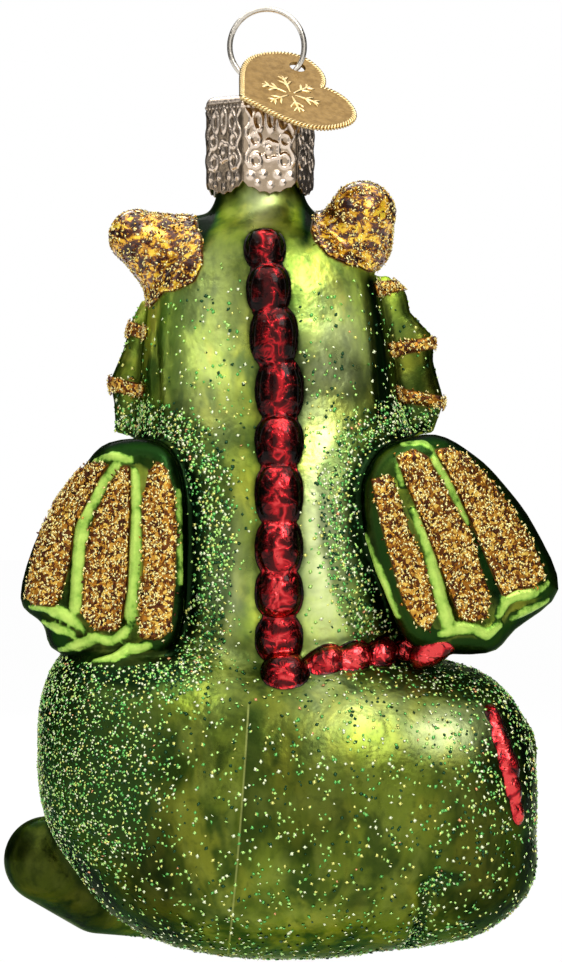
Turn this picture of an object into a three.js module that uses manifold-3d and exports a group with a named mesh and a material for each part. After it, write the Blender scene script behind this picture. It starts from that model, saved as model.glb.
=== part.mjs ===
import * as THREE from 'three';
import { mergeVertices } from 'three/addons/utils/BufferGeometryUtils.js';
import Module from 'manifold-3d';

// Dragon tree ornament of mould-blown glass, seen from its back along +Y.
// Millimetres, +Z up, origin where a hook bears on the inner top of the hanging ring.

// Hanging ring
const RING_WIRE_R = 0.325;
const RING_R = 4.305;
const RING_CENTRE_Z = RING_WIRE_R - RING_R;

// Neck and the metal cap over it
const NECK_X = -0.8;
const NECK_R = 5.0;
const NECK_RIM_Z = -12.2;
const NECK_BASE_Z = -23.6;
const GLASS_WALL = 1.0;
const CAP_SHEET = 0.4;
const CAP_GAP = 0.3;
const CAP_TOP_Z = -10.0;
const CAP_BEVEL = 0.9;
const CAP_FACES = 6;
const CAP_YAW_DEG = -12;
const CAP_EDGE_POWER = 40;
const CAP_POINTS = 54;
const CAP_SKIRT_Z = -20.0;
const CAP_SCALLOP = 1.4;
const CAP_LOBE_POWER = 0.7;
const SLOT_HALF_X = 0.7;
const SLOT_HALF_Y = 1.6;

// Spring clip of one bent wire
const CLIP_WIRE_R = 0.4;
const EYE_R = 1.35;
const EYE_LIFT = 0.3;
const CLIP_LEG_Y = 3.2;
const CLIP_FOOT_Z = -19.2;

// Heart tag on the ring
const TAG_PLATE = 0.4;
const TAG_RIM = 0.6;
const TAG_RIM_WIDTH = 0.9;
const TAG_HOLE_R = 1.0;
const TAG_LENGTH = 11.75;
const TAG_HALF_WIDTH = 7.7;
const TAG_HOLE = [10.85, 4.13];
const TAG_RING_DEG = -35.9;
const TAG_NORMAL = [0.26, -0.585, 0.768];
const TAG_TURN_DEG = 13.1;

// Glitter coats stuck on the glass
const COAT_GAP = 0.2;
const COAT_THICK = 0.4;

// Heights where the sections through the glass change from fans to level cuts
const LOW_FAN_Z = -92;
const HIGH_FAN_Z = -45;
const HIGH_FAN_DEG = 73;
const CENTRE_LOW_X = 2.3;
const CENTRE_HIGH_X = -0.6;
const COLUMNS = 66;
const COLUMN_CROWDING = 0.1;
const CAVITY_COLUMNS = 32;
const LOW_ROWS = 16;
const LEVEL_ROWS = 25;
const HIGH_ROWS = 14;
const NECK_ROWS = 2;

const rad = THREE.MathUtils.degToRad;

// Rounded masses of the body: centre, half sizes, squareness, blend width
const BODY_LUMPS = [
  { at: [-0.3, 0.5, -35.8], half: [13.4, 12.5, 13.2], power: 2.3, blend: 3 },
  { at: [0.4, 0.5, -47], half: [14.6, 12.2, 14], power: 2.3, blend: 5 },
  { at: [1.2, 0.5, -61], half: [17.5, 15.5, 18], power: 2.4, blend: 5 },
  { at: [2.0, 0.5, -91], half: [25.5, 21.5, 19], power: 2.6, blend: 4 },
  { at: [1.2, 8.5, -72], half: [12.5, 10.5, 17], power: 2.2, blend: 3 },
  { at: [-13.4, -1.5, -85], half: [12.9, 17, 14], power: 2.8, blend: 3 },
  { at: [18.9, -0.5, -91.6], half: [12.2, 17.5, 16.8], power: 2.5, blend: 3 },
  { at: [24, -5, -98.4], half: [6.5, 8.5, 5.4], power: 2.2, blend: 2 },
];

// Face, turned away in the photo: snout, jaw, brows and nostrils
const FACE_LUMPS = [
  { at: [-0.2, 15.5, -40.6], half: [7.6, 9, 5.6], power: 2.3, blend: 3 },
  { at: [-0.2, 13, -45.6], half: [6.6, 8, 3.8], power: 2.2, blend: 1.5 },
  { at: [-6, 10.6, -32], half: [3.9, 3.7, 3.9], power: 2, blend: 1.6 },
  { at: [5.6, 10.6, -32], half: [3.9, 3.7, 3.9], power: 2, blend: 1.6 },
  { at: [-3.2, 23, -37.6], half: [2, 1.9, 1.9], power: 2, blend: 1.4 },
  { at: [2.8, 23, -37.6], half: [2, 1.9, 1.9], power: 2, blend: 1.4 },
];

// Limbs and tail as round bars that change thickness between points
const LIMBS = [
  { path: [[-12, 7, -56, 4.2], [-10, 15, -62, 3.6], [-4.5, 18.5, -64, 3.2]], blend: 1.6 },
  { path: [[14.5, 7, -56, 4.2], [12.5, 15, -62, 3.6], [7, 18.5, -64, 3.2]], blend: 1.6 },
  { path: [[-13, 10, -95, 5.5], [-9.5, 20.5, -98, 4.6]], blend: 1.6 },
  { path: [[17, 10, -95, 5.5], [13.5, 20.5, -98, 4.6]], blend: 1.6 },
  { path: [[25.5, 6, -86, 6], [25, 14, -98, 5.8], [13, 20, -104.6, 5.2], [-6, 20, -104.8, 4.9],
    [-19.4, 12, -102, 5], [-25.8, 6, -98.9, 5.2]], blend: 1.5 },
];

// Horns from root to tip
const LEFT_HORN = { path: [[-10.3, -1, -28.6, 5.2], [-15, -3, -26.2, 2.9]], blend: 1.8 };
const RIGHT_HORN = { path: [[9.9, -2, -26.3, 4.4], [11, -4, -23.6, 3.5]], blend: 1.2 };

// Cheek frills and wings as flaps: outline across and up, thickness and place along Y
const LEFT_FRILL = {
  outline: [[-10, -33], [-14.6, -33.4], [-15.9, -36], [-16.7, -39], [-18.3, -42.7], [-17.8, -45.1],
    [-17.6, -48.6], [-10, -50.5]],
  half: 2.4, soft: 1.6, rootX: -12, rootY: 3, slope: 0.1, blend: 1.2,
};
const RIGHT_FRILL = {
  outline: [[10, -31], [14, -30.4], [16.2, -32.4], [16.6, -34.6], [19.4, -37.6], [19.3, -40.4],
    [20.6, -45], [19.3, -48.6], [10, -50.5]],
  half: 2.4, soft: 1.6, rootX: 12, rootY: 3, slope: 0.1, blend: 1.2,
};
const LEFT_WING = {
  outline: [[-12, -49.7], [-17.9, -49.4], [-21.3, -52.6], [-26, -59.2], [-28.7, -67.9], [-25.6, -70.6],
    [-23.6, -73.9], [-13.5, -74.6], [-9.9, -71.5], [-9.1, -63.4], [-9.5, -54.2]],
  half: 4.2, soft: 2.6, rootX: -9.5, rootY: -12.2, slope: 0.4, blend: 0.8,
};
const RIGHT_WING = {
  outline: [[13.7, -50.3], [19.1, -49], [23.7, -51.4], [27, -54.6], [30.6, -59.5], [33.9, -66.9],
    [28.4, -71.2], [25, -73.9], [16.6, -72.9], [13.4, -66.9], [11.2, -60], [11, -54.2]],
  half: 4.2, soft: 2.6, rootX: 11, rootY: -12.2, slope: 0.36, blend: 0.8,
};

// Crest of beads down the spine: heights of the joints between beads, half width of each
const CREST_STEPS = [-25, -30.4, -35.1, -40.9, -47.5, -53, -59.1, -64.4, -69, -74.3, -78.4];
const CREST_X = [[-25, -0.4], [-40, 1.2], [-72, 1.3], [-78.4, 2.4]];
const CREST_HALF_WIDTH = 2.6;
const CREST_RISE = 1.4;
const BEAD_SINK = 0.7;
const BEAD_LAP = 0.25;
const CREST_BLEND = 0.5;

// The crest goes on along the tail, first across the back, then down the right flank
const TAIL_CREST = [
  { from: [4.9, -75.8], to: [20.6, -73.6], half: 1.6 },
  { from: [26, -81.6], to: [29.6, -93.4], half: 1.7 },
];
const TAIL_BEADS = 4;

// Gold glitter panels of the wings, each a strip between two edges
const WING_PANELS = [
  ['left_wing_outer_gold', [[-18.8, -52.4], [-26.9, -62.8], [-27.5, -66.4], [-24.6, -68.7], [-23, -62.9], [-20.3, -56]]],
  ['left_wing_middle_gold', [[-16.3, -52.7], [-19.1, -56.9], [-21.3, -69.1], [-16.5, -71.2], [-16, -54]]],
  ['left_wing_inner_gold', [[-12.6, -52], [-14.1, -56], [-14.7, -71.2], [-12.6, -72.8], [-11, -71.5], [-10.6, -63], [-11.2, -55]]],
  ['right_wing_inner_gold', [[12.2, -54], [13.2, -59], [16.6, -69.5], [18.4, -71.5], [19.7, -69.8], [16.8, -60], [14.6, -55.4]]],
  ['right_wing_middle_gold', [[15.9, -50.9], [15.4, -52.4], [21.7, -69.4], [24.9, -70], [25.4, -68], [23, -59], [18.6, -52.4]]],
  ['right_wing_outer_gold', [[19.7, -51.4], [20.4, -53.6], [27.6, -66.6], [31.4, -66.2], [32.4, -65], [28, -57.6], [23.6, -53]]],
];
const WING_BACK_Y = -30;

// Gold ribs of the frills: centre line across and up, half width
const FRILL_RIBS = [
  ['left_frill_upper_rib', [[-16.2, -36.4], [-12.9, -37.6]]],
  ['left_frill_lower_rib', [[-18.3, -42.9], [-13.3, -44.1]]],
  ['right_frill_upper_rib', [[12.4, -32.2], [15.5, -31.4]]],
  ['right_frill_middle_rib', [[13.3, -39.3], [19.1, -38.2]]],
  ['right_frill_lower_rib', [[14.6, -44.2], [20.3, -45.2]]],
];
const FRILL_RIB_HALF = 0.75;
const FRILL_RIB_BACK_Y = -3;
const FRILL_RIB_FRONT_Y = 6;

// Distance to a rounded mass, level sets of a power norm made to true scale
function lumpField(lump, x, y, z) {
  const p = lump.power;
  const a = [(x - lump.at[0]) / lump.half[0], (y - lump.at[1]) / lump.half[1], (z - lump.at[2]) / lump.half[2]];
  const k = Math.max(a.reduce((sum, t) => sum + Math.abs(t) ** p, 0) ** (1 / p), 1e-3);
  const slope = Math.hypot(...a.map((t, i) => (Math.abs(t) / k) ** (p - 1) / lump.half[i]));
  return (k - 1) / slope;
}

// Distance to a round bar with a changing radius
function limbField(limb, x, y, z) {
  let best = Infinity;
  for (let i = 0; i + 1 < limb.path.length; i++) {
    const [ax, ay, az, ar] = limb.path[i];
    const [bx, by, bz, br] = limb.path[i + 1];
    const d = [bx - ax, by - ay, bz - az];
    const along = (x - ax) * d[0] + (y - ay) * d[1] + (z - az) * d[2];
    const t = Math.min(Math.max(along / (d[0] ** 2 + d[1] ** 2 + d[2] ** 2), 0), 1);
    const gap = Math.hypot(x - ax - t * d[0], y - ay - t * d[1], z - az - t * d[2]);
    best = Math.min(best, gap - ar - t * (br - ar));
  }
  return best;
}

// Signed distance to a closed outline in the plane
function outlineField(outline, x, z) {
  let best = Infinity;
  let inside = false;
  for (let i = 0, j = outline.length - 1; i < outline.length; j = i++) {
    const [ax, az] = outline[i];
    const [bx, bz] = outline[j];
    const t = Math.min(Math.max(((x - ax) * (bx - ax) + (z - az) * (bz - az))
      / ((bx - ax) ** 2 + (bz - az) ** 2), 0), 1);
    best = Math.min(best, Math.hypot(x - ax - t * (bx - ax), z - az - t * (bz - az)));
    if ((az > z) !== (bz > z) && x < (bx - ax) * (z - az) / (bz - az) + ax) inside = !inside;
  }
  return inside ? -best : best;
}

// Distance to a flap: a soft-edged plate that leans back towards its root
function flapField(flap, x, y, z) {
  const middle = flap.rootY + flap.slope * Math.abs(x - flap.rootX);
  const side = outlineField(flap.outline, x, z) + flap.soft;
  const face = Math.abs(y - middle) / Math.hypot(1, flap.slope) - flap.half + flap.soft;
  return Math.hypot(Math.max(side, 0), Math.max(face, 0)) + Math.min(Math.max(side, face), 0) - flap.soft;
}

function blend(a, b, width) {
  const h = Math.max(width - Math.abs(a - b), 0) / width;
  return Math.min(a, b) - h * h * width / 4;
}

const PIECES_OF_FORM = [
  ...BODY_LUMPS.map((lump) => [lumpField, lump]),
  ...FACE_LUMPS.map((lump) => [lumpField, lump]),
  ...LIMBS.map((limb) => [limbField, limb]),
  [limbField, LEFT_HORN],
  [limbField, RIGHT_HORN],
  [flapField, LEFT_FRILL],
  [flapField, RIGHT_FRILL],
  [flapField, LEFT_WING],
  [flapField, RIGHT_WING],
];

function smoothForm(x, y, z) {
  let d = Math.hypot(x - NECK_X, y) - NECK_R;
  d = Math.max(d, NECK_BASE_Z - 12 - z);
  for (const [field, shape] of PIECES_OF_FORM) d = blend(d, field(shape, x, y, z), shape.blend);
  return d;
}

// Last place along a line, coming from outside, where the form reaches a level
function outerHit(form, origin, dir, level, reach) {
  const step = 0.5;
  const value = (t) => form(origin[0] + t * dir[0], origin[1] + t * dir[1], origin[2] + t * dir[2]) - level;
  let far = reach;
  while (far > step && value(far - step) > 0) far -= step;
  let near = far - step;
  for (let i = 0; i < 12; i++) {
    const mid = (near + far) / 2;
    if (value(mid) > 0) far = mid;
    else near = mid;
  }
  return far;
}

// First place along a line, coming from inside, where the wall of the cavity stands
function innerHit(form, origin, dir, level) {
  const step = 0.5;
  const value = (t) => form(origin[0] + t * dir[0], origin[1] + t * dir[1], origin[2] + t * dir[2]) - level;
  let near = 0;
  while (value(near + step) < 0) near += step;
  let far = near + step;
  for (let i = 0; i < 12; i++) {
    const mid = (near + far) / 2;
    if (value(mid) < 0) near = mid;
    else far = mid;
  }
  return near;
}

// Beads of the crest, each an egg sunk in the surface that it stands on
function crestX(z) {
  const i = Math.max(CREST_X.findIndex((p) => p[0] <= z), 1);
  const [z0, x0] = CREST_X[i - 1];
  const [z1, x1] = CREST_X[i];
  return x0 + (x1 - x0) * (z - z0) / (z1 - z0);
}

function crestBead(x, z, halfX, halfZ) {
  const t = outerHit(smoothForm, [x, 0, z], [0, -1, 0], 0, 40);
  return {
    at: [x, BEAD_SINK - t, z],
    half: [halfX, CREST_RISE + BEAD_SINK, halfZ],
    power: 2.2,
    blend: CREST_BLEND,
  };
}

const BEADS = CREST_STEPS.slice(1).map((low, i) => {
  const z = (low + CREST_STEPS[i]) / 2;
  return crestBead(crestX(z), z, CREST_HALF_WIDTH, (CREST_STEPS[i] - low) / 2 + BEAD_LAP);
});
for (const run of TAIL_CREST) {
  for (let i = 0; i < TAIL_BEADS; i++) {
    const t = (i + 0.5) / TAIL_BEADS;
    const x = run.from[0] + t * (run.to[0] - run.from[0]);
    const z = run.from[1] + t * (run.to[1] - run.from[1]);
    const dx = Math.abs(run.to[0] - run.from[0]) / TAIL_BEADS / 2;
    const dz = Math.abs(run.to[1] - run.from[1]) / TAIL_BEADS / 2;
    BEADS.push(crestBead(x, z, Math.max(dx, run.half), Math.max(dz, run.half)));
  }
}

function dragonForm(x, y, z) {
  let d = smoothForm(x, y, z);
  for (const bead of BEADS) {
    if (Math.abs(z - bead.at[2]) < 6 && Math.abs(x - bead.at[0]) < 6) {
      d = blend(d, lumpField(bead, x, y, z), bead.blend);
    }
  }
  return d;
}

// Columns stand closer together at the spine, the sides and the face
function columnTurn(j, columns) {
  const even = 2 * Math.PI * j / columns;
  return even - COLUMN_CROWDING * Math.sin(4 * even);
}

// Lines that scan the form: fans round the low and high points, level rows between
function scanLines(columns, lowRows, levelRows, highRows) {
  const rows = [];
  const addRow = (x, z, lift) => {
    const row = [];
    for (let j = 0; j < columns; j++) {
      const turn = columnTurn(j, columns);
      const flat = Math.cos(lift);
      row.push({ origin: [x, 0, z], dir: [flat * Math.sin(turn), -flat * Math.cos(turn), Math.sin(lift)] });
    }
    rows.push(row);
  };
  for (let i = 1; i < lowRows; i++) addRow(CENTRE_LOW_X, LOW_FAN_Z, rad(-90 + 90 * i / lowRows));
  for (let i = 0; i <= levelRows; i++) {
    const t = i / levelRows;
    addRow(CENTRE_LOW_X + t * (CENTRE_HIGH_X - CENTRE_LOW_X), LOW_FAN_Z + t * (HIGH_FAN_Z - LOW_FAN_Z), 0);
  }
  for (let i = 1; i <= highRows; i++) addRow(CENTRE_HIGH_X, HIGH_FAN_Z, rad(HIGH_FAN_DEG * i / highRows));
  return rows;
}

function neckRing(columns, radius, z) {
  const ring = [];
  for (let j = 0; j < columns; j++) {
    const turn = columnTurn(j, columns);
    ring.push([NECK_X + radius * Math.sin(turn), -radius * Math.cos(turn), z]);
  }
  return ring;
}

const along = (line, t) => line.origin.map((c, i) => c + t * line.dir[i]);

function bottomPoint(form, level) {
  const line = { origin: [CENTRE_LOW_X, 0, LOW_FAN_Z], dir: [0, 0, -1] };
  return along(line, outerHit(form, line.origin, line.dir, level, 60));
}

function outerRings(level, neckRadius, topZ) {
  const rings = scanLines(COLUMNS, LOW_ROWS, LEVEL_ROWS, HIGH_ROWS).map((row) => row.map((line) =>
    along(line, outerHit(dragonForm, line.origin, line.dir, level, 46))));
  for (let i = 0; i <= NECK_ROWS; i++) {
    rings.push(neckRing(COLUMNS, neckRadius, NECK_BASE_Z + (topZ - NECK_BASE_Z) * i / NECK_ROWS));
  }
  return rings;
}

// Skin over a stack of rings; rings may differ in the number of points
function addBand(triangles, low, high) {
  let i = 0;
  let j = 0;
  while (i < low.length || j < high.length) {
    const a = low[i % low.length];
    const b = high[j % high.length];
    if (j >= high.length || (i < low.length && (i + 1) / low.length <= (j + 1) / high.length)) {
      triangles.push(a, low[(i + 1) % low.length], b);
      i += 1;
    } else {
      triangles.push(a, high[(j + 1) % high.length], b);
      j += 1;
    }
  }
}

function addFan(triangles, centre, ring, facingUp) {
  ring.forEach((point, i) => {
    const next = ring[(i + 1) % ring.length];
    if (facingUp) triangles.push(centre, point, next);
    else triangles.push(centre, next, point);
  });
}

function toGeometry(triangles) {
  const geometry = new THREE.BufferGeometry();
  geometry.setAttribute('position', new THREE.Float32BufferAttribute(triangles.flat(), 3));
  return mergeVertices(geometry, 1e-5);
}

function stackSkin(rings, bottom, topCentre) {
  const triangles = [];
  addFan(triangles, bottom, rings[0], false);
  for (let i = 0; i + 1 < rings.length; i++) addBand(triangles, rings[i], rings[i + 1]);
  if (topCentre) addFan(triangles, topCentre, rings[rings.length - 1], true);
  return triangles;
}

// The blown glass: one wall from the outer form to the cavity, open at the neck rim
function glassGeometry() {
  const outer = outerRings(0, NECK_R, NECK_RIM_Z);
  const triangles = stackSkin(outer, bottomPoint(dragonForm, 0));
  const inner = scanLines(CAVITY_COLUMNS, 6, 10, 6).map((row) => row.map((line) =>
    along(line, innerHit(smoothForm, line.origin, line.dir, -GLASS_WALL))));
  const bore = NECK_R - GLASS_WALL;
  inner.push(neckRing(CAVITY_COLUMNS, bore, NECK_BASE_Z), neckRing(CAVITY_COLUMNS, bore, NECK_RIM_Z));
  const cavity = stackSkin(inner, bottomPoint(smoothForm, -GLASS_WALL));
  for (let i = 0; i < cavity.length; i += 3) triangles.push(cavity[i], cavity[i + 2], cavity[i + 1]);
  addBand(triangles, outer[outer.length - 1], inner[inner.length - 1]);
  return toGeometry(triangles);
}

// Solids joined and cut
const wasm = await Module();
wasm.setup();

function toManifold(geometry) {
  const plain = geometry.clone();
  plain.deleteAttribute('normal');
  plain.deleteAttribute('uv');
  const merged = mergeVertices(plain, 1e-5);
  return new wasm.Manifold(new wasm.Mesh({
    numProp: 3,
    vertProperties: new Float32Array(merged.attributes.position.array),
    triVerts: new Uint32Array(merged.index.array),
  }));
}

function fromManifold(solid) {
  const mesh = solid.getMesh();
  const geometry = new THREE.BufferGeometry();
  geometry.setAttribute('position', new THREE.BufferAttribute(new Float32Array(mesh.vertProperties), 3));
  geometry.setIndex(new THREE.BufferAttribute(new Uint32Array(mesh.triVerts), 1));
  return geometry;
}

function skinSolid(level) {
  const rings = outerRings(level, NECK_R + level, NECK_RIM_Z);
  return toManifold(toGeometry(stackSkin(rings, bottomPoint(dragonForm, level), [NECK_X, 0, NECK_RIM_Z])));
}

// A flat outline across and up, carried through from back to front
function prism(outline, backY, frontY) {
  const shape = new THREE.Shape(outline.map(([x, z]) => new THREE.Vector2(x, z)));
  const geometry = new THREE.ExtrudeGeometry(shape, { depth: frontY - backY, bevelEnabled: false });
  geometry.rotateX(Math.PI / 2);
  geometry.translate(0, frontY, 0);
  return toManifold(geometry);
}

function ribOutline([from, to]) {
  const length = Math.hypot(to[0] - from[0], to[1] - from[1]);
  const side = [-(to[1] - from[1]) / length * FRILL_RIB_HALF, (to[0] - from[0]) / length * FRILL_RIB_HALF];
  const reach = [(to[0] - from[0]) / length * FRILL_RIB_HALF, (to[1] - from[1]) / length * FRILL_RIB_HALF];
  const near = from[0] ** 2 > to[0] ** 2 ? 2 : 0;
  const far = near ? 0 : 2;
  return [
    [from[0] + side[0] - near * reach[0], from[1] + side[1] - near * reach[1]],
    [from[0] - side[0] - near * reach[0], from[1] - side[1] - near * reach[1]],
    [to[0] - side[0] + far * reach[0], to[1] - side[1] + far * reach[1]],
    [to[0] + side[0] + far * reach[0], to[1] + side[1] + far * reach[1]],
  ];
}

function hornEnvelope(horn) {
  const [[ax, ay, az, ar], [bx, by, bz, br]] = horn.path;
  const centre = [(ax + bx) / 2, (ay + by) / 2 - 1.2, (az + bz) / 2];
  const geometry = new THREE.SphereGeometry(1, 18, 12);
  const length = Math.hypot(bx - ax, bz - az);
  geometry.scale((length + ar + br) / 2 + 0.5, ar + 2.2, ar - 0.2);
  geometry.rotateY(-Math.atan2(bz - az, bx - ax));
  geometry.translate(...centre);
  return toManifold(geometry);
}

function addCoats(group) {
  const coat = skinSolid(COAT_GAP + COAT_THICK).subtract(skinSolid(COAT_GAP));
  const gold = { color: 0xb58a24, roughness: 0.35, metalness: 0.8 };
  const add = (name, cutter) => {
    const solid = coat.intersect(cutter);
    addMesh(group, name, fromManifold(solid), gold);
  };
  add('left_horn_gold', hornEnvelope(LEFT_HORN));
  add('right_horn_gold', hornEnvelope(RIGHT_HORN));
  for (const [name, outline] of WING_PANELS) {
    const wing = name.startsWith('left') ? LEFT_WING : RIGHT_WING;
    const meanX = outline.reduce((sum, p) => sum + p[0], 0) / outline.length;
    add(name, prism(outline, WING_BACK_Y, wing.rootY + wing.slope * Math.abs(meanX - wing.rootX)));
  }
  for (const [name, line] of FRILL_RIBS) add(name, prism(ribOutline(line), FRILL_RIB_BACK_Y, FRILL_RIB_FRONT_Y));
}

// Cap: six-sided sheet cup with a soft top edge, a scalloped skirt and a slot for the clip
const CAP_FIRST_FACE = rad(CAP_YAW_DEG + 180 / CAP_FACES);

function capRadius(turn, apothem) {
  let sum = 0;
  for (let k = 0; k < CAP_FACES; k++) {
    const face = CAP_FIRST_FACE + 2 * Math.PI * k / CAP_FACES;
    sum += Math.max(Math.cos(turn - face), 0) ** CAP_EDGE_POWER;
  }
  return apothem / sum ** (1 / CAP_EDGE_POWER);
}

function capGeometry() {
  const outerApothem = NECK_R + CAP_GAP + CAP_SHEET;
  const innerApothem = NECK_R + CAP_GAP;
  const ring = (apothem, height) => {
    const points = [];
    for (let i = 0; i < CAP_POINTS; i++) {
      const turn = -2 * Math.PI * i / CAP_POINTS;
      const r = capRadius(turn, apothem);
      points.push([NECK_X + r * Math.cos(turn), -r * Math.sin(turn), height(turn)]);
    }
    return points;
  };
  const slot = (z) => {
    const points = [];
    for (let i = 0; i < CAP_POINTS; i++) {
      const turn = -2 * Math.PI * i / CAP_POINTS;
      const r = (Math.abs(Math.cos(turn) / SLOT_HALF_X) ** 6 + Math.abs(Math.sin(turn) / SLOT_HALF_Y) ** 6) ** (-1 / 6);
      points.push([NECK_X + r * Math.cos(turn), -r * Math.sin(turn), z]);
    }
    return points;
  };
  const level = (z) => () => z;
  const lobe = (turn) => Math.abs(Math.cos((turn - CAP_FIRST_FACE) * CAP_FACES / 2)) ** CAP_LOBE_POWER;
  const skirt = (turn) => CAP_SKIRT_Z - CAP_SCALLOP * lobe(turn);
  const rings = [
    slot(CAP_TOP_Z - CAP_SHEET),
    ring(innerApothem - CAP_BEVEL, level(CAP_TOP_Z - CAP_SHEET)),
    ring(innerApothem, level(CAP_TOP_Z - CAP_BEVEL - CAP_SHEET / 2)),
    ring(innerApothem, skirt),
    ring(outerApothem, skirt),
    ring(outerApothem, level(CAP_TOP_Z - CAP_BEVEL)),
    ring(outerApothem - CAP_BEVEL, level(CAP_TOP_Z)),
    slot(CAP_TOP_Z),
  ];
  const triangles = [];
  rings.forEach((low, i) => addBand(triangles, low, rings[(i + 1) % rings.length]));
  return toGeometry(triangles);
}

// Spring clip: an eye above the cap and two legs that press outward in the neck
function clipGeometry() {
  const eyeZ = RING_CENTRE_Z - RING_R + RING_WIRE_R + EYE_LIFT - EYE_R + CLIP_WIRE_R;
  const half = [];
  half.push([0, eyeZ + EYE_R], [0.95, eyeZ + 0.96], [EYE_R, eyeZ], [1.0, eyeZ - 0.95]);
  half.push([0.85, CAP_TOP_Z - CAP_SHEET / 2], [1.3, -12.2], [2.4, -14.6], [CLIP_LEG_Y, CLIP_FOOT_Z + 1]);
  half.push([CLIP_LEG_Y - 0.1, CLIP_FOOT_Z]);
  const points = [...half.slice(1).reverse().map(([y, z]) => new THREE.Vector3(NECK_X, -y, z)),
    ...half.map(([y, z]) => new THREE.Vector3(NECK_X, y, z))];
  return tube(new THREE.CatmullRomCurve3(points), CLIP_WIRE_R, 36, 4);
}

function tube(curve, radius, steps, sides) {
  const shape = new THREE.Shape();
  shape.absarc(0, 0, radius, 0, 2 * Math.PI, false);
  return new THREE.ExtrudeGeometry(shape, { steps, curveSegments: sides, bevelEnabled: false, extrudePath: curve });
}

function ringGeometry() {
  const geometry = new THREE.TorusGeometry(RING_R, RING_WIRE_R, 8, 36);
  geometry.rotateX(Math.PI / 2);
  geometry.translate(0, 0, RING_CENTRE_Z);
  return geometry;
}

// Heart tag: plate, raised rim and the hole that the ring passes through
function heartShape(inset) {
  const w = TAG_HALF_WIDTH - inset;
  const tip = inset * 1.4;
  const notch = TAG_LENGTH - inset * 0.6;
  const top = TAG_LENGTH + 1.9 - inset;
  const shape = new THREE.Shape();
  shape.moveTo(tip, 0);
  shape.bezierCurveTo(tip + 2.2, -w * 0.45, tip + 3.6, -w, TAG_LENGTH * 0.72, -w);
  shape.bezierCurveTo(top - 1, -w, top, -w * 0.75, top, -w * 0.46);
  shape.bezierCurveTo(top, -w * 0.2, notch + 0.6, -w * 0.05, notch, 0);
  shape.bezierCurveTo(notch + 0.6, w * 0.05, top, w * 0.2, top, w * 0.46);
  shape.bezierCurveTo(top, w * 0.75, top - 1, w, TAG_LENGTH * 0.72, w);
  shape.bezierCurveTo(tip + 3.6, w, tip + 2.2, w * 0.45, tip, 0);
  return shape;
}

function tagGeometry() {
  const slab = (shape, thick) => {
    const geometry = new THREE.ExtrudeGeometry(shape, { depth: thick, bevelEnabled: false, curveSegments: 6 });
    geometry.translate(0, 0, -thick / 2);
    return toManifold(geometry);
  };
  const hole = new THREE.CylinderGeometry(TAG_HOLE_R, TAG_HOLE_R, 3, 24);
  hole.rotateX(Math.PI / 2);
  hole.translate(TAG_HOLE[0], TAG_HOLE[1], 0);
  const rim = slab(heartShape(0), TAG_RIM).subtract(slab(heartShape(TAG_RIM_WIDTH), 2));
  const solid = rim.add(slab(heartShape(0.3), TAG_PLATE)).subtract(toManifold(hole));
  const geometry = fromManifold(solid);
  const normal = new THREE.Vector3(...TAG_NORMAL).normalize();
  const level = new THREE.Vector3(0, 0, 1).cross(normal).normalize();
  const up = normal.clone().cross(level);
  const turn = rad(TAG_TURN_DEG);
  const axis = level.clone().multiplyScalar(Math.cos(turn)).addScaledVector(up, Math.sin(turn));
  const across = normal.clone().cross(axis);
  geometry.translate(-TAG_HOLE[0], -TAG_HOLE[1], 0);
  geometry.applyMatrix4(new THREE.Matrix4().makeBasis(axis, across, normal));
  const a = rad(TAG_RING_DEG);
  geometry.translate(RING_R * Math.cos(a), 0, RING_CENTRE_Z + RING_R * Math.sin(a));
  return geometry;
}

function addMesh(group, name, geometry, look) {
  const plain = geometry.index ? geometry.toNonIndexed() : geometry;
  plain.deleteAttribute('uv');
  plain.computeVertexNormals();
  const mesh = new THREE.Mesh(plain, new THREE.MeshStandardMaterial(look));
  mesh.name = name;
  group.add(mesh);
}

const ornament = new THREE.Group();
ornament.name = 'dragon_ornament';
addMesh(ornament, 'hanging_ring', ringGeometry(), { color: 0xcfc8b4, roughness: 0.25, metalness: 1 });
addMesh(ornament, 'heart_tag', tagGeometry(), { color: 0xc9a25e, roughness: 0.35, metalness: 1 });
addMesh(ornament, 'spring_clip', clipGeometry(), { color: 0xb9b6ae, roughness: 0.3, metalness: 1 });
addMesh(ornament, 'neck_cap', capGeometry(), { color: 0xd9c3ab, roughness: 0.25, metalness: 1 });
addMesh(ornament, 'glass_body', glassGeometry(), { color: 0x7c9a2e, roughness: 0.2, metalness: 0.7 });
addCoats(ornament);

export default ornament;
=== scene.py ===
import math

import bpy
import numpy as np
from mathutils import Matrix, Vector


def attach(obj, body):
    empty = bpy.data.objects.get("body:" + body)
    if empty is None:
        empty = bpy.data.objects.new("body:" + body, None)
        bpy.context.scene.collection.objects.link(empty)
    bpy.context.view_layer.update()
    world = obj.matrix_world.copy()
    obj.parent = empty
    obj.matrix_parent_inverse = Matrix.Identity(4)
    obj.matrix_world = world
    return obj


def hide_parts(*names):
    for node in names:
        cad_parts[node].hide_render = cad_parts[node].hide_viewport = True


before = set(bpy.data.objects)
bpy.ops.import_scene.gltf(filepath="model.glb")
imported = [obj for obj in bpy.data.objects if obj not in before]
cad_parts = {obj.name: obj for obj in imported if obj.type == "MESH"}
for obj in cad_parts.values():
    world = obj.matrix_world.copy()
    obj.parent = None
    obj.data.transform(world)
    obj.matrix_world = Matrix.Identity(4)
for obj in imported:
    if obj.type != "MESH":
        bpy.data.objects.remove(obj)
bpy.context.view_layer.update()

MM = 0.001

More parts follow.
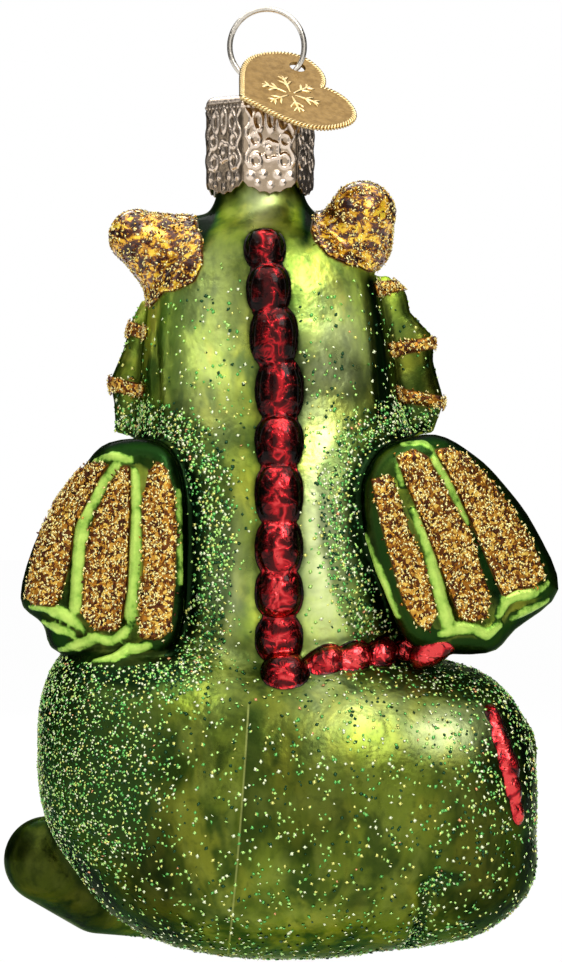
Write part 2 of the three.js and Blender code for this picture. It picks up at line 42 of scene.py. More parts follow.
# Studio: the camera stands behind the dragon, level with its middle. A pale floor lies
# under it, soft lamps stand left, right and above, and grey cards out of view give the
# silvered glass its dark edges.
bpy.ops.object.select_all(action="DESELECT")
bpy.ops.object.camera_add(location=(0.00162, -0.55, -0.05428), rotation=(math.pi / 2, 0, 0))
camera = bpy.context.object
camera.data.sensor_width = 36
camera.data.lens = 177.8
camera.data.clip_start = 0.01
bpy.context.scene.camera = camera
bpy.context.scene.view_settings.view_transform = "Standard"


class Wires:
    """Nodes of one tree, put in and joined up one by one."""

    def __init__(self, tree):
        self.tree = tree

    def put(self, kind, **values):
        node = self.tree.nodes.new("ShaderNode" + kind)
        for key, value in values.items():
            setattr(node, key, value)
        return node

    def join(self, out, into):
        self.tree.links.new(out, into)

    def feed(self, socket, value):
        if isinstance(value, (int, float, tuple)):
            socket.default_value = value
        else:
            self.join(value, socket)

    def math(self, operation, a, b=0.0):
        node = self.put("Math", operation=operation)
        self.feed(node.inputs[0], a)
        self.feed(node.inputs[1], b)
        return node.outputs[0]

    def plus(self, a, b):
        return self.math("ADD", a, b)

    def less(self, a, b):
        return self.math("SUBTRACT", a, b)

    def times(self, a, b):
        return self.math("MULTIPLY", a, b)

    def most(self, a, b):
        return self.math("MAXIMUM", a, b)

    def ramp(self, value, low, high, start=0.0, end=1.0):
        node = self.put("MapRange", interpolation_type="SMOOTHSTEP")
        self.feed(node.inputs["Value"], value)
        for key, number in (("From Min", low), ("From Max", high), ("To Min", start), ("To Max", end)):
            node.inputs[key].default_value = number
        return node.outputs["Result"]


def shared_effect(name, given, results):
    """An empty node group for an effect that several materials use."""
    group = bpy.data.node_groups.new(name, "ShaderNodeTree")
    for title, kind in given.items():
        group.interface.new_socket(title, in_out="INPUT", socket_type=kind)
    for title in results:
        group.interface.new_socket(title, in_out="OUTPUT", socket_type="NodeSocketFloat")
    wires = Wires(group)
    return wires, wires.put("TexCoord").outputs["Object"]


# Soft clouds that follow the piece, and chips that each have one tone and one lean
clouds, place = shared_effect("soft_clouds", {
    "Stretch": "NodeSocketVector", "Scale": "NodeSocketFloat", "Detail": "NodeSocketFloat",
    "Roughness": "NodeSocketFloat", "Distortion": "NodeSocketFloat"}, ["Cloud"])
given, stretched, noise = (clouds.tree.nodes.new(kind) for kind in (
    "NodeGroupInput", "ShaderNodeMapping", "ShaderNodeTexNoise"))
clouds.join(place, stretched.inputs["Vector"])
clouds.join(given.outputs["Stretch"], stretched.inputs["Scale"])
clouds.join(stretched.outputs[0], noise.inputs["Vector"])
for title in ("Scale", "Detail", "Roughness", "Distortion"):
    clouds.join(given.outputs[title], noise.inputs[title])
clouds.join(noise.outputs["Fac"], clouds.tree.nodes.new("NodeGroupOutput").inputs[0])
glitter, place = shared_effect("glitter_chips", {"Scale": "NodeSocketFloat"}, ["Tone", "Lean"])
given, result = (glitter.tree.nodes.new(kind) for kind in ("NodeGroupInput", "NodeGroupOutput"))
cells, parts = glitter.put("TexVoronoi"), glitter.put("SeparateColor")
for out, into in ((place, cells.inputs["Vector"]), (given.outputs[0], cells.inputs["Scale"]),
                  (cells.outputs["Color"], parts.inputs[0]), (parts.outputs[0], result.inputs[0]),
                  (parts.outputs[1], result.inputs[1])):
    glitter.join(out, into)


class Paint(Wires):
    """One material: its qualities are numbers, colours or the ends of other nodes."""

    def __init__(self, name, **qualities):
        self.material = bpy.data.materials.new(name)
        self.material.use_nodes = True
        super().__init__(self.material.node_tree)
        self.shader = self.tree.nodes["Principled BSDF"]
        for quality, value in qualities.items():
            self.show(quality.replace("_", " "), value)

    def show(self, quality, value):
        self.feed(self.shader.inputs[quality], value)

    def on(self, piece):
        piece.data.materials.append(self.material)

    def mark(self, name):
        return self.put("Attribute", attribute_name=name).outputs["Fac"]

    def cloud(self, scale, detail=3.0, rough=0.55, distort=0.0, tall=1.0):
        node = self.put("Group", node_tree=clouds.tree)
        for socket, value in zip(node.inputs, ((1, 1, 1 / tall), scale, detail, rough, distort)):
            socket.default_value = value
        return node.outputs[0]

    def chips(self, scale):
        node = self.put("Group", node_tree=glitter.tree)
        node.inputs[0].default_value = scale
        return node.outputs

    def mix(self, share, a, b, kind="MIX"):
        node = self.put("Mix", data_type="RGBA", blend_type=kind)
        for socket, value in ((node.inputs["Factor"], share), (node.inputs[6], a), (node.inputs[7], b)):
            self.feed(socket, (*value, 1.0) if isinstance(value, tuple) else value)
        return node.outputs[2]

    def bands(self, value, stops, steps="LINEAR"):
        """Colours along a value: the first two stops are the two that a ramp starts with."""
        node = self.put("ValToRGB")
        node.color_ramp.interpolation = steps
        for n, (place, colour) in enumerate(stops):
            stop = node.color_ramp.elements[n] if n < 2 else node.color_ramp.elements.new(place)
            stop.position, stop.color = place, (*colour, 1)
        self.join(value, node.inputs[0])
        return node.outputs[0]

    def bump(self, height, depth_mm):
        node = self.put("Bump")
        node.inputs["Distance"].default_value = depth_mm * MM
        self.join(height, node.inputs["Height"])
        return node.outputs["Normal"]


def plain_metal(name, grain, colours, rough_grain, roughs, metallic=1.0, reach=0.2):
    """A metal or mirror whose colour and gloss vary softly, in grains given as size and detail."""
    metal = Paint(name, Metallic=metallic)
    metal.show("Base Color", metal.mix(metal.ramp(metal.cloud(*grain), 0.5 - reach, 0.5 + reach), *colours))
    metal.show("Roughness", metal.ramp(metal.cloud(*rough_grain), 0.3, 0.7, *roughs))
    return metal


world = bpy.data.worlds.new("studio_air")
world.use_nodes = True
bpy.context.scene.world = world
air = Wires(world.node_tree)
sky = world.node_tree.nodes["Background"]
rays = air.put("LightPath").outputs
direct = air.most(air.most(rays["Is Camera Ray"], rays["Is Transmission Ray"]), rays["Is Glossy Ray"])
air.join(air.ramp(direct, 0, 1, 0.55, 1.0), sky.inputs["Strength"])
sky.inputs["Color"].default_value = (1, 1, 1, 1)

FLOOR_Z, FLOOR_GLOW = -113.5, 0.97
bpy.ops.mesh.primitive_plane_add(size=6, location=(0, 0, FLOOR_Z * MM))
floor = bpy.context.object
floor.name = "floor"
pale = Paint("floor_paint", Base_Color=(0.9, 0.9, 0.9, 1), Roughness=0.9)
rays, lit_floor, glow = pale.put("LightPath").outputs, pale.put("MixShader"), pale.put("Emission")
share = pale.times(pale.most(rays["Is Camera Ray"], rays["Is Glossy Ray"]), FLOOR_GLOW)
for out, into in ((share, lit_floor.inputs["Fac"]), (pale.shader.outputs[0], lit_floor.inputs[1]),
                  (glow.outputs[0], lit_floor.inputs[2]),
                  (lit_floor.outputs[0], pale.tree.nodes["Material Output"].inputs["Surface"])):
    pale.join(out, into)
pale.on(floor)


def add_lamp(name, place, aim, size, watts):
    bpy.ops.object.light_add(type="AREA", location=place)
    lamp = bpy.context.object
    lamp.name = name
    lamp.data.shape = "RECTANGLE"
    lamp.data.size, lamp.data.size_y = size
    lamp.data.energy = watts
    lamp.rotation_euler = (Vector(aim) - Vector(place)).to_track_quat("-Z", "Y").to_euler()


add_lamp("key_lamp", (0.25, -0.44, 0.36), (0, 0, -0.06), (0.3, 0.4), 2.0)
add_lamp("fill_lamp", (-0.36, -0.46, 0.1), (0, 0, -0.06), (0.16, 0.4), 0.9)
add_lamp("top_lamp", (0, 0.05, 0.5), (0, 0, -0.05), (0.85, 0.85), 2.2)
add_lamp("front_lamp", (-0.15, 0.5, 0.2), (0, 0, -0.06), (0.3, 0.4), 2.2)

# Cards: from and to in degrees round from the camera, height in metres, grey
for start, end, height, grey in [
        (38, 62, 0.5, 0.2), (62, 96, 0.7, 0.03), (103, 136, 0.7, 0.03), (136, 166, 0.7, 0.03),
        (166, 194, 0.7, 0.22), (-166, -136, 0.7, 0.03), (-136, -103, 0.7, 0.03), (-96, -62, 0.7, 0.09),
        (-62, -40, 0.5, 0.1), (-40, -16, 0.5, 0.2)]:
    turn = math.radians((start + end) / 2)
    bpy.ops.mesh.primitive_plane_add(size=1, location=(0.45 * math.sin(turn), -0.45 * math.cos(turn), -0.05),
                                     rotation=(math.pi / 2, 0, turn))
    card = bpy.context.object
    card.name = f"card_{start + 180}"
    card.scale = (0.9 * math.tan(math.radians((end - start) / 2)), height, 1)
    Paint(card.name, Base_Color=(grey, grey, grey, 1), Roughness=1.0).on(card)
    card.visible_camera = False
    card.visible_diffuse = False
    card.visible_shadow = False

# Blown glass dragon: one thin wall blown into a two-part mould, silvered inside. Its form
# is rounded masses, bars and flaps that run into each other, all in millimetres.
NECK_X, NECK_R, NECK_RIM_Z, NECK_FOOT_Z, WALL = -0.8, 5.0, -12.2, -35.6, 1.0
MASSES = [
    # centre, half sizes, squareness, how far it runs into its neighbours
    ((-0.3, 0.5, -35.8), (13.4, 12.5, 13.2), 2.3, 3),
    ((0.4, 0.5, -47), (14.6, 12.2, 14), 2.3, 5),
    ((1.2, 0.5, -61), (17.5, 15.5, 18), 2.4, 5),
    ((2.0, 0.5, -90.8), (25.5, 21.5, 18.6), 2.42, 4),
    ((1.2, 8.5, -72), (12.5, 10.5, 17), 2.2, 3),
    ((-13.4, -1.5, -85), (12.9, 17, 14), 2.8, 3),
    ((18.9, -0.5, -91.4), (12.2, 17.5, 16), 2.5, 3),
    ((24, -5, -98.4), (6.5, 8.5, 5.4), 2.2, 2),
    ((-0.2, 15.5, -40.6), (7.6, 9, 5.6), 2.3, 3),
    ((-0.2, 13, -45.6), (6.6, 8, 3.8), 2.2, 1.5),
    ((-6, 10.6, -32), (3.9, 3.7, 3.9), 2, 1.6),
    ((5.6, 10.6, -32), (3.9, 3.7, 3.9), 2, 1.6),
    ((-3.2, 23, -37.6), (2, 1.9, 1.9), 2, 1.4),
    ((2.8, 23, -37.6), (2, 1.9, 1.9), 2, 1.4),
]
BARS = [
    # points with a radius each, then how far it runs into its neighbours
    ([(-12, 7, -56, 4.2), (-10, 15, -62, 3.6), (-4.5, 18.5, -64, 3.2)], 1.6),
    ([(14.5, 7, -56, 4.2), (12.5, 15, -62, 3.6), (7, 18.5, -64, 3.2)], 1.6),
    ([(-13, 10, -95, 5.5), (-9.5, 20.5, -98, 4.6)], 1.6),
    ([(17, 10, -95, 5.5), (13.5, 20.5, -98, 4.6)], 1.6),
    ([(25.5, 6, -86, 6), (25, 14, -98, 5.8), (13, 20, -104.6, 5.2), (-6, 20, -104.8, 4.9),
      (-19.8, 12, -102.7, 5.1), (-25.7, 6, -98.6, 5.1)], 1.5),
    ([(-10.3, -1, -28.6, 5.2), (-15, -3, -26.2, 2.9)], 1.8),
    ([(9.9, -2, -26.3, 4.4), (11, -4, -23.6, 3.5)], 1.2),
]
FLAPS = [
    # outline across and up, half thickness, edge softness, root across and along, slope, run
    ([(-10, -33), (-14.6, -33.4), (-15.9, -36), (-16.7, -39), (-18.3, -42.7), (-17.8, -45.1),
      (-17.6, -48.6), (-10, -50.5)], 2.4, 1.6, -12, 3, 0.1, 1.2),
    ([(10, -31), (14, -30.4), (16.2, -32.4), (16.6, -34.6), (19.4, -37.6), (19.3, -40.4),
      (20.6, -45), (19.3, -48.6), (10, -50.5)], 2.4, 1.6, 12, 3, 0.1, 1.2),
    ([(-12, -49.9), (-17.9, -49.9), (-21.2, -53.1), (-25.8, -59.7), (-28.2, -67.6), (-25.6, -70.6),
      (-23.6, -73.9), (-13.5, -74.6), (-9.9, -71.5), (-9.1, -63.4), (-9.5, -54.2)],
     4.2, 2.6, -9.5, -12.2, 0.4, 0.8),
    ([(13.7, -50.3), (19.1, -49), (23.7, -51.4), (27, -54.6), (30.6, -59.5), (33.4, -66.7),
      (28.4, -71.2), (25, -73.9), (16.6, -72.9), (13.4, -66.9), (11.2, -60), (11, -54.2)],
     4.2, 2.6, 11, -12.2, 0.36, 0.8),
]
CREST_STEPS = [-26.2, -30.4, -35.1, -40.9, -47.5, -53, -59.1, -64.4, -69, -74.3, -78.4]
CREST_LINE = [(-78.4, 2.4), (-72, 1.4), (-42, 1.4), (-38, 0.8), (-31, 0), (-25, -0.5)]


def run_together(a, b, width):
    """The lesser of two distances, rounded over where they are nearly the same."""
    reach = np.maximum(width - np.abs(a - b), 0) / width
    return np.minimum(a, b) - reach * reach * width / 4


def to_mass(p, centre, half, power):
    a = (p - np.array(centre)) / np.array(half)
    size = np.abs(a) + 1e-6
    k = (size ** power).sum(1) ** (1 / power)
    slope = np.sqrt((((size / k[:, None]) ** (power - 1) / np.array(half)) ** 2).sum(1))
    return (k - 1) / slope


def to_bar(p, path):
    best = np.full(len(p), 1e3)
    for a, b in zip(path, path[1:]):
        start, way = np.array(a[:3]), np.array(b[:3]) - np.array(a[:3])
        t = np.clip((p - start) @ way / (way @ way), 0, 1)
        gap = np.linalg.norm(p - start - t[:, None] * way, axis=1)
        best = np.minimum(best, gap - a[3] - t * (b[3] - a[3]))
    return best


def to_stretch(x, z, ax, az, bx, bz):
    """Distance in the plane to a straight stretch, and how far along it the nearest place is."""
    t = np.clip(((x - ax) * (bx - ax) + (z - az) * (bz - az)) / ((bx - ax) ** 2 + (bz - az) ** 2), 0, 1)
    return np.hypot(x - ax - t * (bx - ax), z - az - t * (bz - az)), t


def to_outline(p, outline):
    x, z = p[:, 0], p[:, 2]
    best = np.full(len(x), 1e3)
    inside = np.zeros(len(x), bool)
    for (ax, az), (bx, bz) in zip(outline, outline[1:] + outline[:1]):
        best = np.minimum(best, to_stretch(x, z, ax, az, bx, bz)[0])
        if az != bz:
            inside ^= ((az > z) != (bz > z)) & (x < (bx - ax) * (z - az) / (bz - az) + ax)
    return np.where(inside, -best, best)


def rounded(outline):
    """The same outline with its corners run into curves that still pass through them."""
    points = np.array(outline, float)
    before, after, later = np.roll(points, 1, 0), np.roll(points, -1, 0), np.roll(points, -2, 0)
    smooth = []
    for t in (0, 0.25, 0.5, 0.75):
        smooth.append(points + 0.5 * t * (after - before + t * (2 * before - 5 * points + 4 * after - later
                      + t * (3 * (points - after) + later - before))))
    return [tuple(p) for p in np.stack(smooth, 1).reshape(-1, 2).tolist()]


def to_flap(p, outline, half, soft, root_x, root_y, slope):
    middle = root_y + slope * np.abs(p[:, 0] - root_x)
    side = to_outline(p, outline) + soft
    face = np.abs(p[:, 1] - middle) / math.hypot(1, slope) - half + soft
    return np.hypot(np.maximum(side, 0), np.maximum(face, 0)) + np.minimum(np.maximum(side, face), 0) - soft


SHAPES = []


def add_shape(distance, low, high, width, *values):
    SHAPES.append((distance, np.array(low, float) - 4, np.array(high, float) + 4, width, values))


def add_bar(path, width):
    ends = np.array(path)
    add_shape(to_bar, (ends[:, :3] - ends[:, 3:]).min(0), (ends[:, :3] + ends[:, 3:]).max(0), width, path)


for centre, half, power, width in MASSES:
    add_shape(to_mass, np.subtract(centre, half), np.add(centre, half), width, centre, half, power)
for path, width in BARS:
    add_bar(path, width)
FLAPS = [(rounded(outline) if half > 3 else outline, half, *rest) for outline, half, *rest in FLAPS]
for outline, half, soft, root_x, root_y, slope, width in FLAPS:
    across = np.array(outline)
    far_y = root_y + slope * np.abs(across[:, 0] - root_x).max()
    add_shape(to_flap, (across[:, 0].min(), root_y - half, across[:, 1].min()),
              (across[:, 0].max(), far_y + half, across[:, 1].max()), width,
              outline, half, soft, root_x, root_y, slope)


def to_form(p, shapes):
    """Distance in mm to the outside of the glass, below 0 in it; the neck is the first shape."""
    d = np.hypot(p[:, 0] - NECK_X, p[:, 1]) - NECK_R
    d = np.maximum(d, NECK_FOOT_Z - p[:, 2])
    for distance, low, high, width, values in shapes:
        near = ((p > low) & (p < high)).all(1)
        if near.any():
            d[near] = run_together(d[near], distance(p[near], *values), width)
    return d


def back_of(x, z, shapes):
    """How far back the surface stands at a place seen from behind."""
    y = np.full(len(x), -30.0)
    for _ in range(60):
        y += np.clip(to_form(np.stack([x, y, z], 1), shapes), -0.5, 0.5) * 0.8
    return y


smooth_shapes = list(SHAPES)

# Beads of the crest and of two ridges on the tail: across, up, half width, half length, rise, slant
beads = []
for high, low in zip(CREST_STEPS, CREST_STEPS[1:]):
    z = (high + low) / 2
    x = float(np.interp(z, *zip(*CREST_LINE)))
    beads.append((x, z, min(2.6, 2.1 + (-26 - z) / 24), (high - low) / 2 + 0.75, 1.4, 0.0))
for (x0, z0), (x1, z1), count, half, twist, taper in [
        ((4.7, -75.3), (20.2, -73.3), 5, 1.75, 0.45, 0), ((25.6, -80.4), (28.3, -92.2), 5, 1.55, 0.1, 1)]:
    for i in range(count):
        t = (i + 0.5) / count
        length = math.hypot(x1 - x0, z1 - z0) / count / 2 + 0.7
        slant = math.atan2(x1 - x0, z0 - z1) + twist
        width = half * (1 - taper * 0.55 * abs(2 * t - 1))
        beads.append((x0 + t * (x1 - x0), z0 + t * (z1 - z0), width, length + twist, 1.2 - 0.5 * taper,
                      slant))


def to_bead(p, centre, half, slant):
    q = p - np.array(centre)
    c, s = math.cos(slant), math.sin(slant)
    turned = np.stack([q[:, 0] * c + q[:, 2] * s, q[:, 1], q[:, 2] * c - q[:, 0] * s], 1)
    return to_mass(turned, (0, 0, 0), half, 2.4)


bead_backs = back_of([b[0] for b in beads], [b[1] for b in beads], smooth_shapes)
bead_values = []
for (x, z, half, length, rise, slant), y in zip(beads, bead_backs):
    centre = (x, float(y) + 0.9, z)
    size = (half, rise + 0.9, length)
    reach = max(half, length) + 0.5
    bead_values.append((centre, size, slant))
    add_shape(to_bead, (x - reach, y - rise, z - reach), (x + reach, y + 3, z + reach), 0.25, centre, size,
              slant)

# Raised lime ribs and curled rims of the wings: across, up, radius
WING_RIBS = [
    [(-16.9, -52.7, 0.55), (-18.8, -55.0, 0.75), (-20.6, -58.3, 0.75), (-21.2, -62.5, 0.7),
     (-21.5, -68.6, 0.75)],
    [(-14.9, -53.4, 0.5), (-14.6, -57.6, 0.55), (-14.7, -63, 0.7), (-15.2, -69.4, 0.75)],
    [(-10.0, -55.6, 0.3), (-9.8, -65.7, 0.3)],
    [(14.7, -52.7, 0.35), (15.2, -54.6, 0.3)],
    [(16.5, -57.8, 0.45), (18.1, -61.3, 0.6), (18.8, -64.7, 0.6), (20.3, -69.9, 0.8)],
    [(18.8, -52.0, 0.5), (20.7, -54.7, 0.6), (21.8, -57.4, 0.45), (22.5, -59, 0.3)],
    [(11.4, -60.4, 0.35), (12.8, -64.4, 0.5), (14.8, -69.4, 0.35)],
    [(-19.4, -52.1, 0.25), (-17.4, -51.5, 0.4), (-15.2, -51.9, 0.3)],
    [(-26.8, -68.6, 0.25), (-25.2, -68.5, 0.55), (-23.4, -69.2, 0.7), (-21.8, -70.0, 0.55),
     (-20.6, -71.2, 0.25)],
    [(-25.6, -70.2, 0.2), (-23.6, -71.0, 0.5), (-21.9, -71.6, 0.25)],
    [(-23.4, -73.4, 0.25), (-21.4, -72.8, 0.55), (-19.2, -72.0, 0.5), (-17.6, -72.4, 0.4), (-16, -71.4, 0.5),
     (-15, -70.2, 0.25)],
    [(-19.4, -74.7, 0.25), (-17.2, -74.3, 0.6), (-15.4, -73.3, 0.65), (-13.2, -72.8, 0.25)],
    [(26.2, -69.6, 0.3), (27.0, -67.8, 0.55), (28.6, -67.2, 0.6), (30.4, -67.0, 0.5), (31.9, -65.9, 0.25)],
    [(27.8, -69.8, 0.25), (29.6, -68.9, 0.5), (31.9, -67.9, 0.25)],
    [(19.6, -71.5, 0.3), (21.6, -70.9, 0.6), (23.4, -71, 0.5), (25, -71.7, 0.5), (26.2, -70.6, 0.4)],
    [(15.4, -50.2, 0.2), (17.6, -50.0, 0.3), (19.4, -51.4, 0.3)],
]


def on_back(lines, shapes, rise):
    """Lines drawn from behind, laid on the back of the glass and moved by rise towards its inside."""
    paths = []
    for line in lines:
        points = np.array(line)
        depths = back_of(points[:, 0], points[:, 1], shapes)
        paths.append([(px, float(py) + rise, pz, r) for (px, pz, r), py in zip(line, depths)])
    return paths


rib_paths = on_back(WING_RIBS, smooth_shapes, 0.1)
for path in rib_paths:
    add_bar(path, 0.5)


def skin_over(distance, step):
    """Closed surface of a form: a fine lattice near it, one corner in each cell that it crosses."""
    low, high, block = np.array((-32.0, -24, -113)), np.array((36.0, 28, -8)), 4
    cells = np.ceil((high - low) / (step * block)).astype(int) * block
    coarse = np.stack(np.meshgrid(*[np.arange(0, n + 1, block) for n in cells], indexing="ij"), -1)
    value = distance(low + coarse.reshape(-1, 3) * step).reshape(coarse.shape[:3])
    lattice = value.repeat(block, 0).repeat(block, 1).repeat(block, 2)
    lattice = lattice[:cells[0] + 1, :cells[1] + 1, :cells[2] + 1].astype(np.float32)
    near = np.abs(value) < step * block * 1.9
    wide = near.copy()
    for axis in range(3):
        for way in (1, -1):
            wide |= np.roll(near, way, axis)
    starts = np.argwhere(wide[:-1, :-1, :-1]) * block
    offsets = np.stack(np.meshgrid(*[np.arange(block + 1)] * 3, indexing="ij"), -1).reshape(-1, 3)
    for part in np.array_split(starts, max(1, len(starts) // 4000)):
        at = (part[:, None] + offsets).reshape(-1, 3)
        lattice[at[:, 0], at[:, 1], at[:, 2]] = distance(low + at * step)
    inside = lattice < 0
    corners = [(a, b, c) for a in (0, 1) for b in (0, 1) for c in (0, 1)]
    last = np.array(inside.shape) - 1
    count = np.zeros(last, np.int8)
    for a, b, c in corners:
        count += inside[a:a + last[0], b:b + last[1], c:c + last[2]]
    active = np.argwhere((count > 0) & (count < 8))
    number = np.full(last, -1, np.int32)
    number[active[:, 0], active[:, 1], active[:, 2]] = np.arange(len(active))
    total, hits = np.zeros((len(active), 3)), np.zeros(len(active))
    for n, first in enumerate(corners):
        for second in corners[n + 1:]:
            if sum(abs(p - q) for p, q in zip(first, second)) != 1:
                continue
            va, vb = (lattice[tuple((active + corner).T)] for corner in (first, second))
            cut = (va < 0) != (vb < 0)
            t = np.where(cut, va / np.where(va == vb, 1, va - vb), 0)
            total += cut[:, None] * (np.array(first) + t[:, None] * (np.array(second) - np.array(first)))
            hits += cut
    points = low + (active + total / hits[:, None]) * step
    quads = []
    for axis in range(3):
        u, v = (axis + 1) % 3, (axis + 2) % 3
        crossing = np.argwhere(inside != np.roll(inside, -1, axis))
        crossing = crossing[(crossing[:, [u, v]] > 0).all(1) & (crossing < last).all(1)]
        out = inside[tuple(crossing.T)]
        ring = []
        for du, dv in ((1, 1), (0, 1), (0, 0), (1, 0)):
            cell = crossing.copy()
            cell[:, u] -= du
            cell[:, v] -= dv
            ring.append(number[tuple(cell.T)])
        ring = np.stack(ring, 1)
        ring[~out] = ring[~out][:, ::-1]
        quads.append(ring)
    return points, np.concatenate(quads)


def slope_of(distance, p, step=0.05):
    steps = np.eye(3) * step
    return np.stack([distance(p + s) - distance(p - s) for s in steps], 1) / (2 * step)


def settle(distance, p, times, least=0.2, keep_depth=False):
    """Points drawn onto the surface or edge that they lie near."""
    for _ in range(times):
        slope = slope_of(distance, p)
        if keep_depth:
            slope[:, 1] = 0
        length = np.maximum((slope ** 2).sum(1), least)
        p = p - np.clip(distance(p) / length, -0.3, 0.3)[:, None] * slope
    return p


def alone(piece):
    bpy.ops.object.select_all(action="DESELECT")
    bpy.context.view_layer.objects.active = piece
    piece.select_set(True)
    return piece


def mesh_from(name, points, faces):
    mesh = bpy.data.meshes.new(name)
    mesh.vertices.add(len(points))
    mesh.vertices.foreach_set("co", (np.asarray(points) * MM).astype(np.float32).ravel())
    sides = faces.shape[1]
    mesh.loops.add(faces.size)
    mesh.loops.foreach_set("vertex_index", faces.astype(np.int32).ravel())
    mesh.polygons.add(len(faces))
    mesh.polygons.foreach_set("loop_start", np.arange(0, faces.size, sides, dtype=np.int32))
    mesh.update(calc_edges=True)
    mesh.validate()
    piece = bpy.data.objects.new(name, mesh)
    bpy.context.collection.objects.link(piece)
    return piece


# Claws and two small fangs, ivory on the green
CLAWS = [[(x, 21.2, z - 0.6, 1.1), (x * 1.02, 23.6, z - 2, 0.45)]
         for x, z in [(-6.6, -64.4), (-4.4, -64.9), (-2.6, -64.4), (5.2, -64.4), (7, -64.9), (9.2, -64.4)]]
CLAWS += [[(x, 24, -99.6, 1.3), (x, 25.4, -101.2, 0.55)] for x in (-12.2, -9.6, -7, 10.8, 13.4, 16)]
CLAWS += [[(x, 21.6, -44.2, 0.8), (x, 22, -46.4, 0.3)] for x in (-4.2, 3.8)]
for path in CLAWS:
    add_bar(path, 0.4)

# Folds pressed into the glass: across, up and half width, on the back of the dragon
FOLDS = [
    [(21.6, -99.1, 0.5), (19.6, -98.6, 0.5), (17.9, -99.8, 0.6), (17.7, -103.6, 0.6), (16.2, -108, 0.5)],
    [(12.2, -31.6, 0.5), (12.9, -38, 0.6), (13.6, -47.2, 0.7)],
    [(-13.4, -35, 0.5), (-12.9, -42, 0.6), (-12.9, -48.6, 0.6)],
]
solid_shapes = list(SHAPES)
fold_paths = on_back(FOLDS, solid_shapes, -0.1)


def glass_form(p):
    d = to_form(p, SHAPES)
    for path in fold_paths:
        ends = np.array(path)
        near = ((p > ends[:, :3].min(0) - 3) & (p < ends[:, :3].max(0) + 3)).all(1)
        if near.any():
            d[near] = -run_together(-d[near], to_bar(p[near], path), 1.2)
    return d


def only_used(points, faces):
    used, flat = np.unique(faces, return_inverse=True)
    return points[used], flat.reshape(faces.shape)


GRAIN = 0.46
skin, quads = skin_over(glass_form, GRAIN)
skin = settle(glass_form, skin, 3)
skin, quads = only_used(skin, quads[skin[quads][:, :, 2].max(1) < NECK_RIM_Z + 0.25])
skin[:, 2] = np.minimum(skin[:, 2], NECK_RIM_Z)
x, y, z = skin.T
normals = slope_of(glass_form, skin)
normals /= np.linalg.norm(normals, axis=1)[:, None]


def nearest_line(p, path):
    """Distance in the plane to a drawn line, less its half width there."""
    best = np.full(len(p), 1e3)
    for (ax, az, ar), (bx, bz, br) in zip(path, path[1:]):
        away, t = to_stretch(p[:, 0], p[:, 2], ax, az, bx, bz)
        best = np.minimum(best, away - ar - t * (br - ar))
    return best


def sides_of(faces):
    return np.concatenate([faces[:, [a, b]] for a, b in ((0, 1), (1, 2), (2, 3), (3, 0))])


# Where each colour is brushed on: distances in mm to the edge of the painted place
sides = sides_of(quads)
links = np.bincount(sides.ravel(), minlength=len(skin))


def eased(values, times):
    for _ in range(times):
        total = np.zeros_like(values)
        for c in range(values.shape[1]):
            total[:, c] = (np.bincount(sides[:, 0], values[sides[:, 1], c], len(skin))
                           + np.bincount(sides[:, 1], values[sides[:, 0], c], len(skin)))
        values = total / np.maximum(links, 1)[:, None]
    return values


# How far the glass curves in at each corner, over a short and a long reach; used for painted shade in its
# hollows
fine = eased(skin.copy(), 8)
hollow_fine = ((fine - skin) * normals).sum(1)
broad = eased(fine, 60)
hollow_broad = ((broad - skin) * normals).sum(1)
red = np.full(len(skin), 1e3)
bead_lit_and_shaded = np.full(len(skin), 2.0)
for n, (centre, size, slant) in enumerate(bead_values):
    near = (np.abs(skin - np.array(centre)) < 6).all(1)
    away = to_bead(skin[near], centre, size, slant)
    closer = away < red[near]
    q = skin[near] - np.array(centre)
    c, s = math.cos(slant), math.sin(slant)
    across = (q[:, 0] * c + q[:, 2] * s) / size[0]
    up = (q[:, 2] * c - q[:, 0] * s) / size[2]
    where = np.flatnonzero(near)
    red[where[closer]] = away[closer]
    on_tail = n >= len(CREST_STEPS) - 1
    # Painted light on each bead: darker towards its sides, a light line where it meets the next, the tail's
    # beads lighter
    place = -0.38 * on_tail + np.abs(across) ** 1.4 * 1.1 - 0.35 * np.exp(-((np.abs(up) - 0.82) / 0.07) ** 2)
    bead_lit_and_shaded[where[closer]] = place[closer]
red -= 0.22
lime = np.minimum.reduce([to_bar(skin, path) for path in rib_paths]) - 0.12
claw = np.minimum.reduce([to_bar(skin, path) for path in CLAWS]) - 0.15

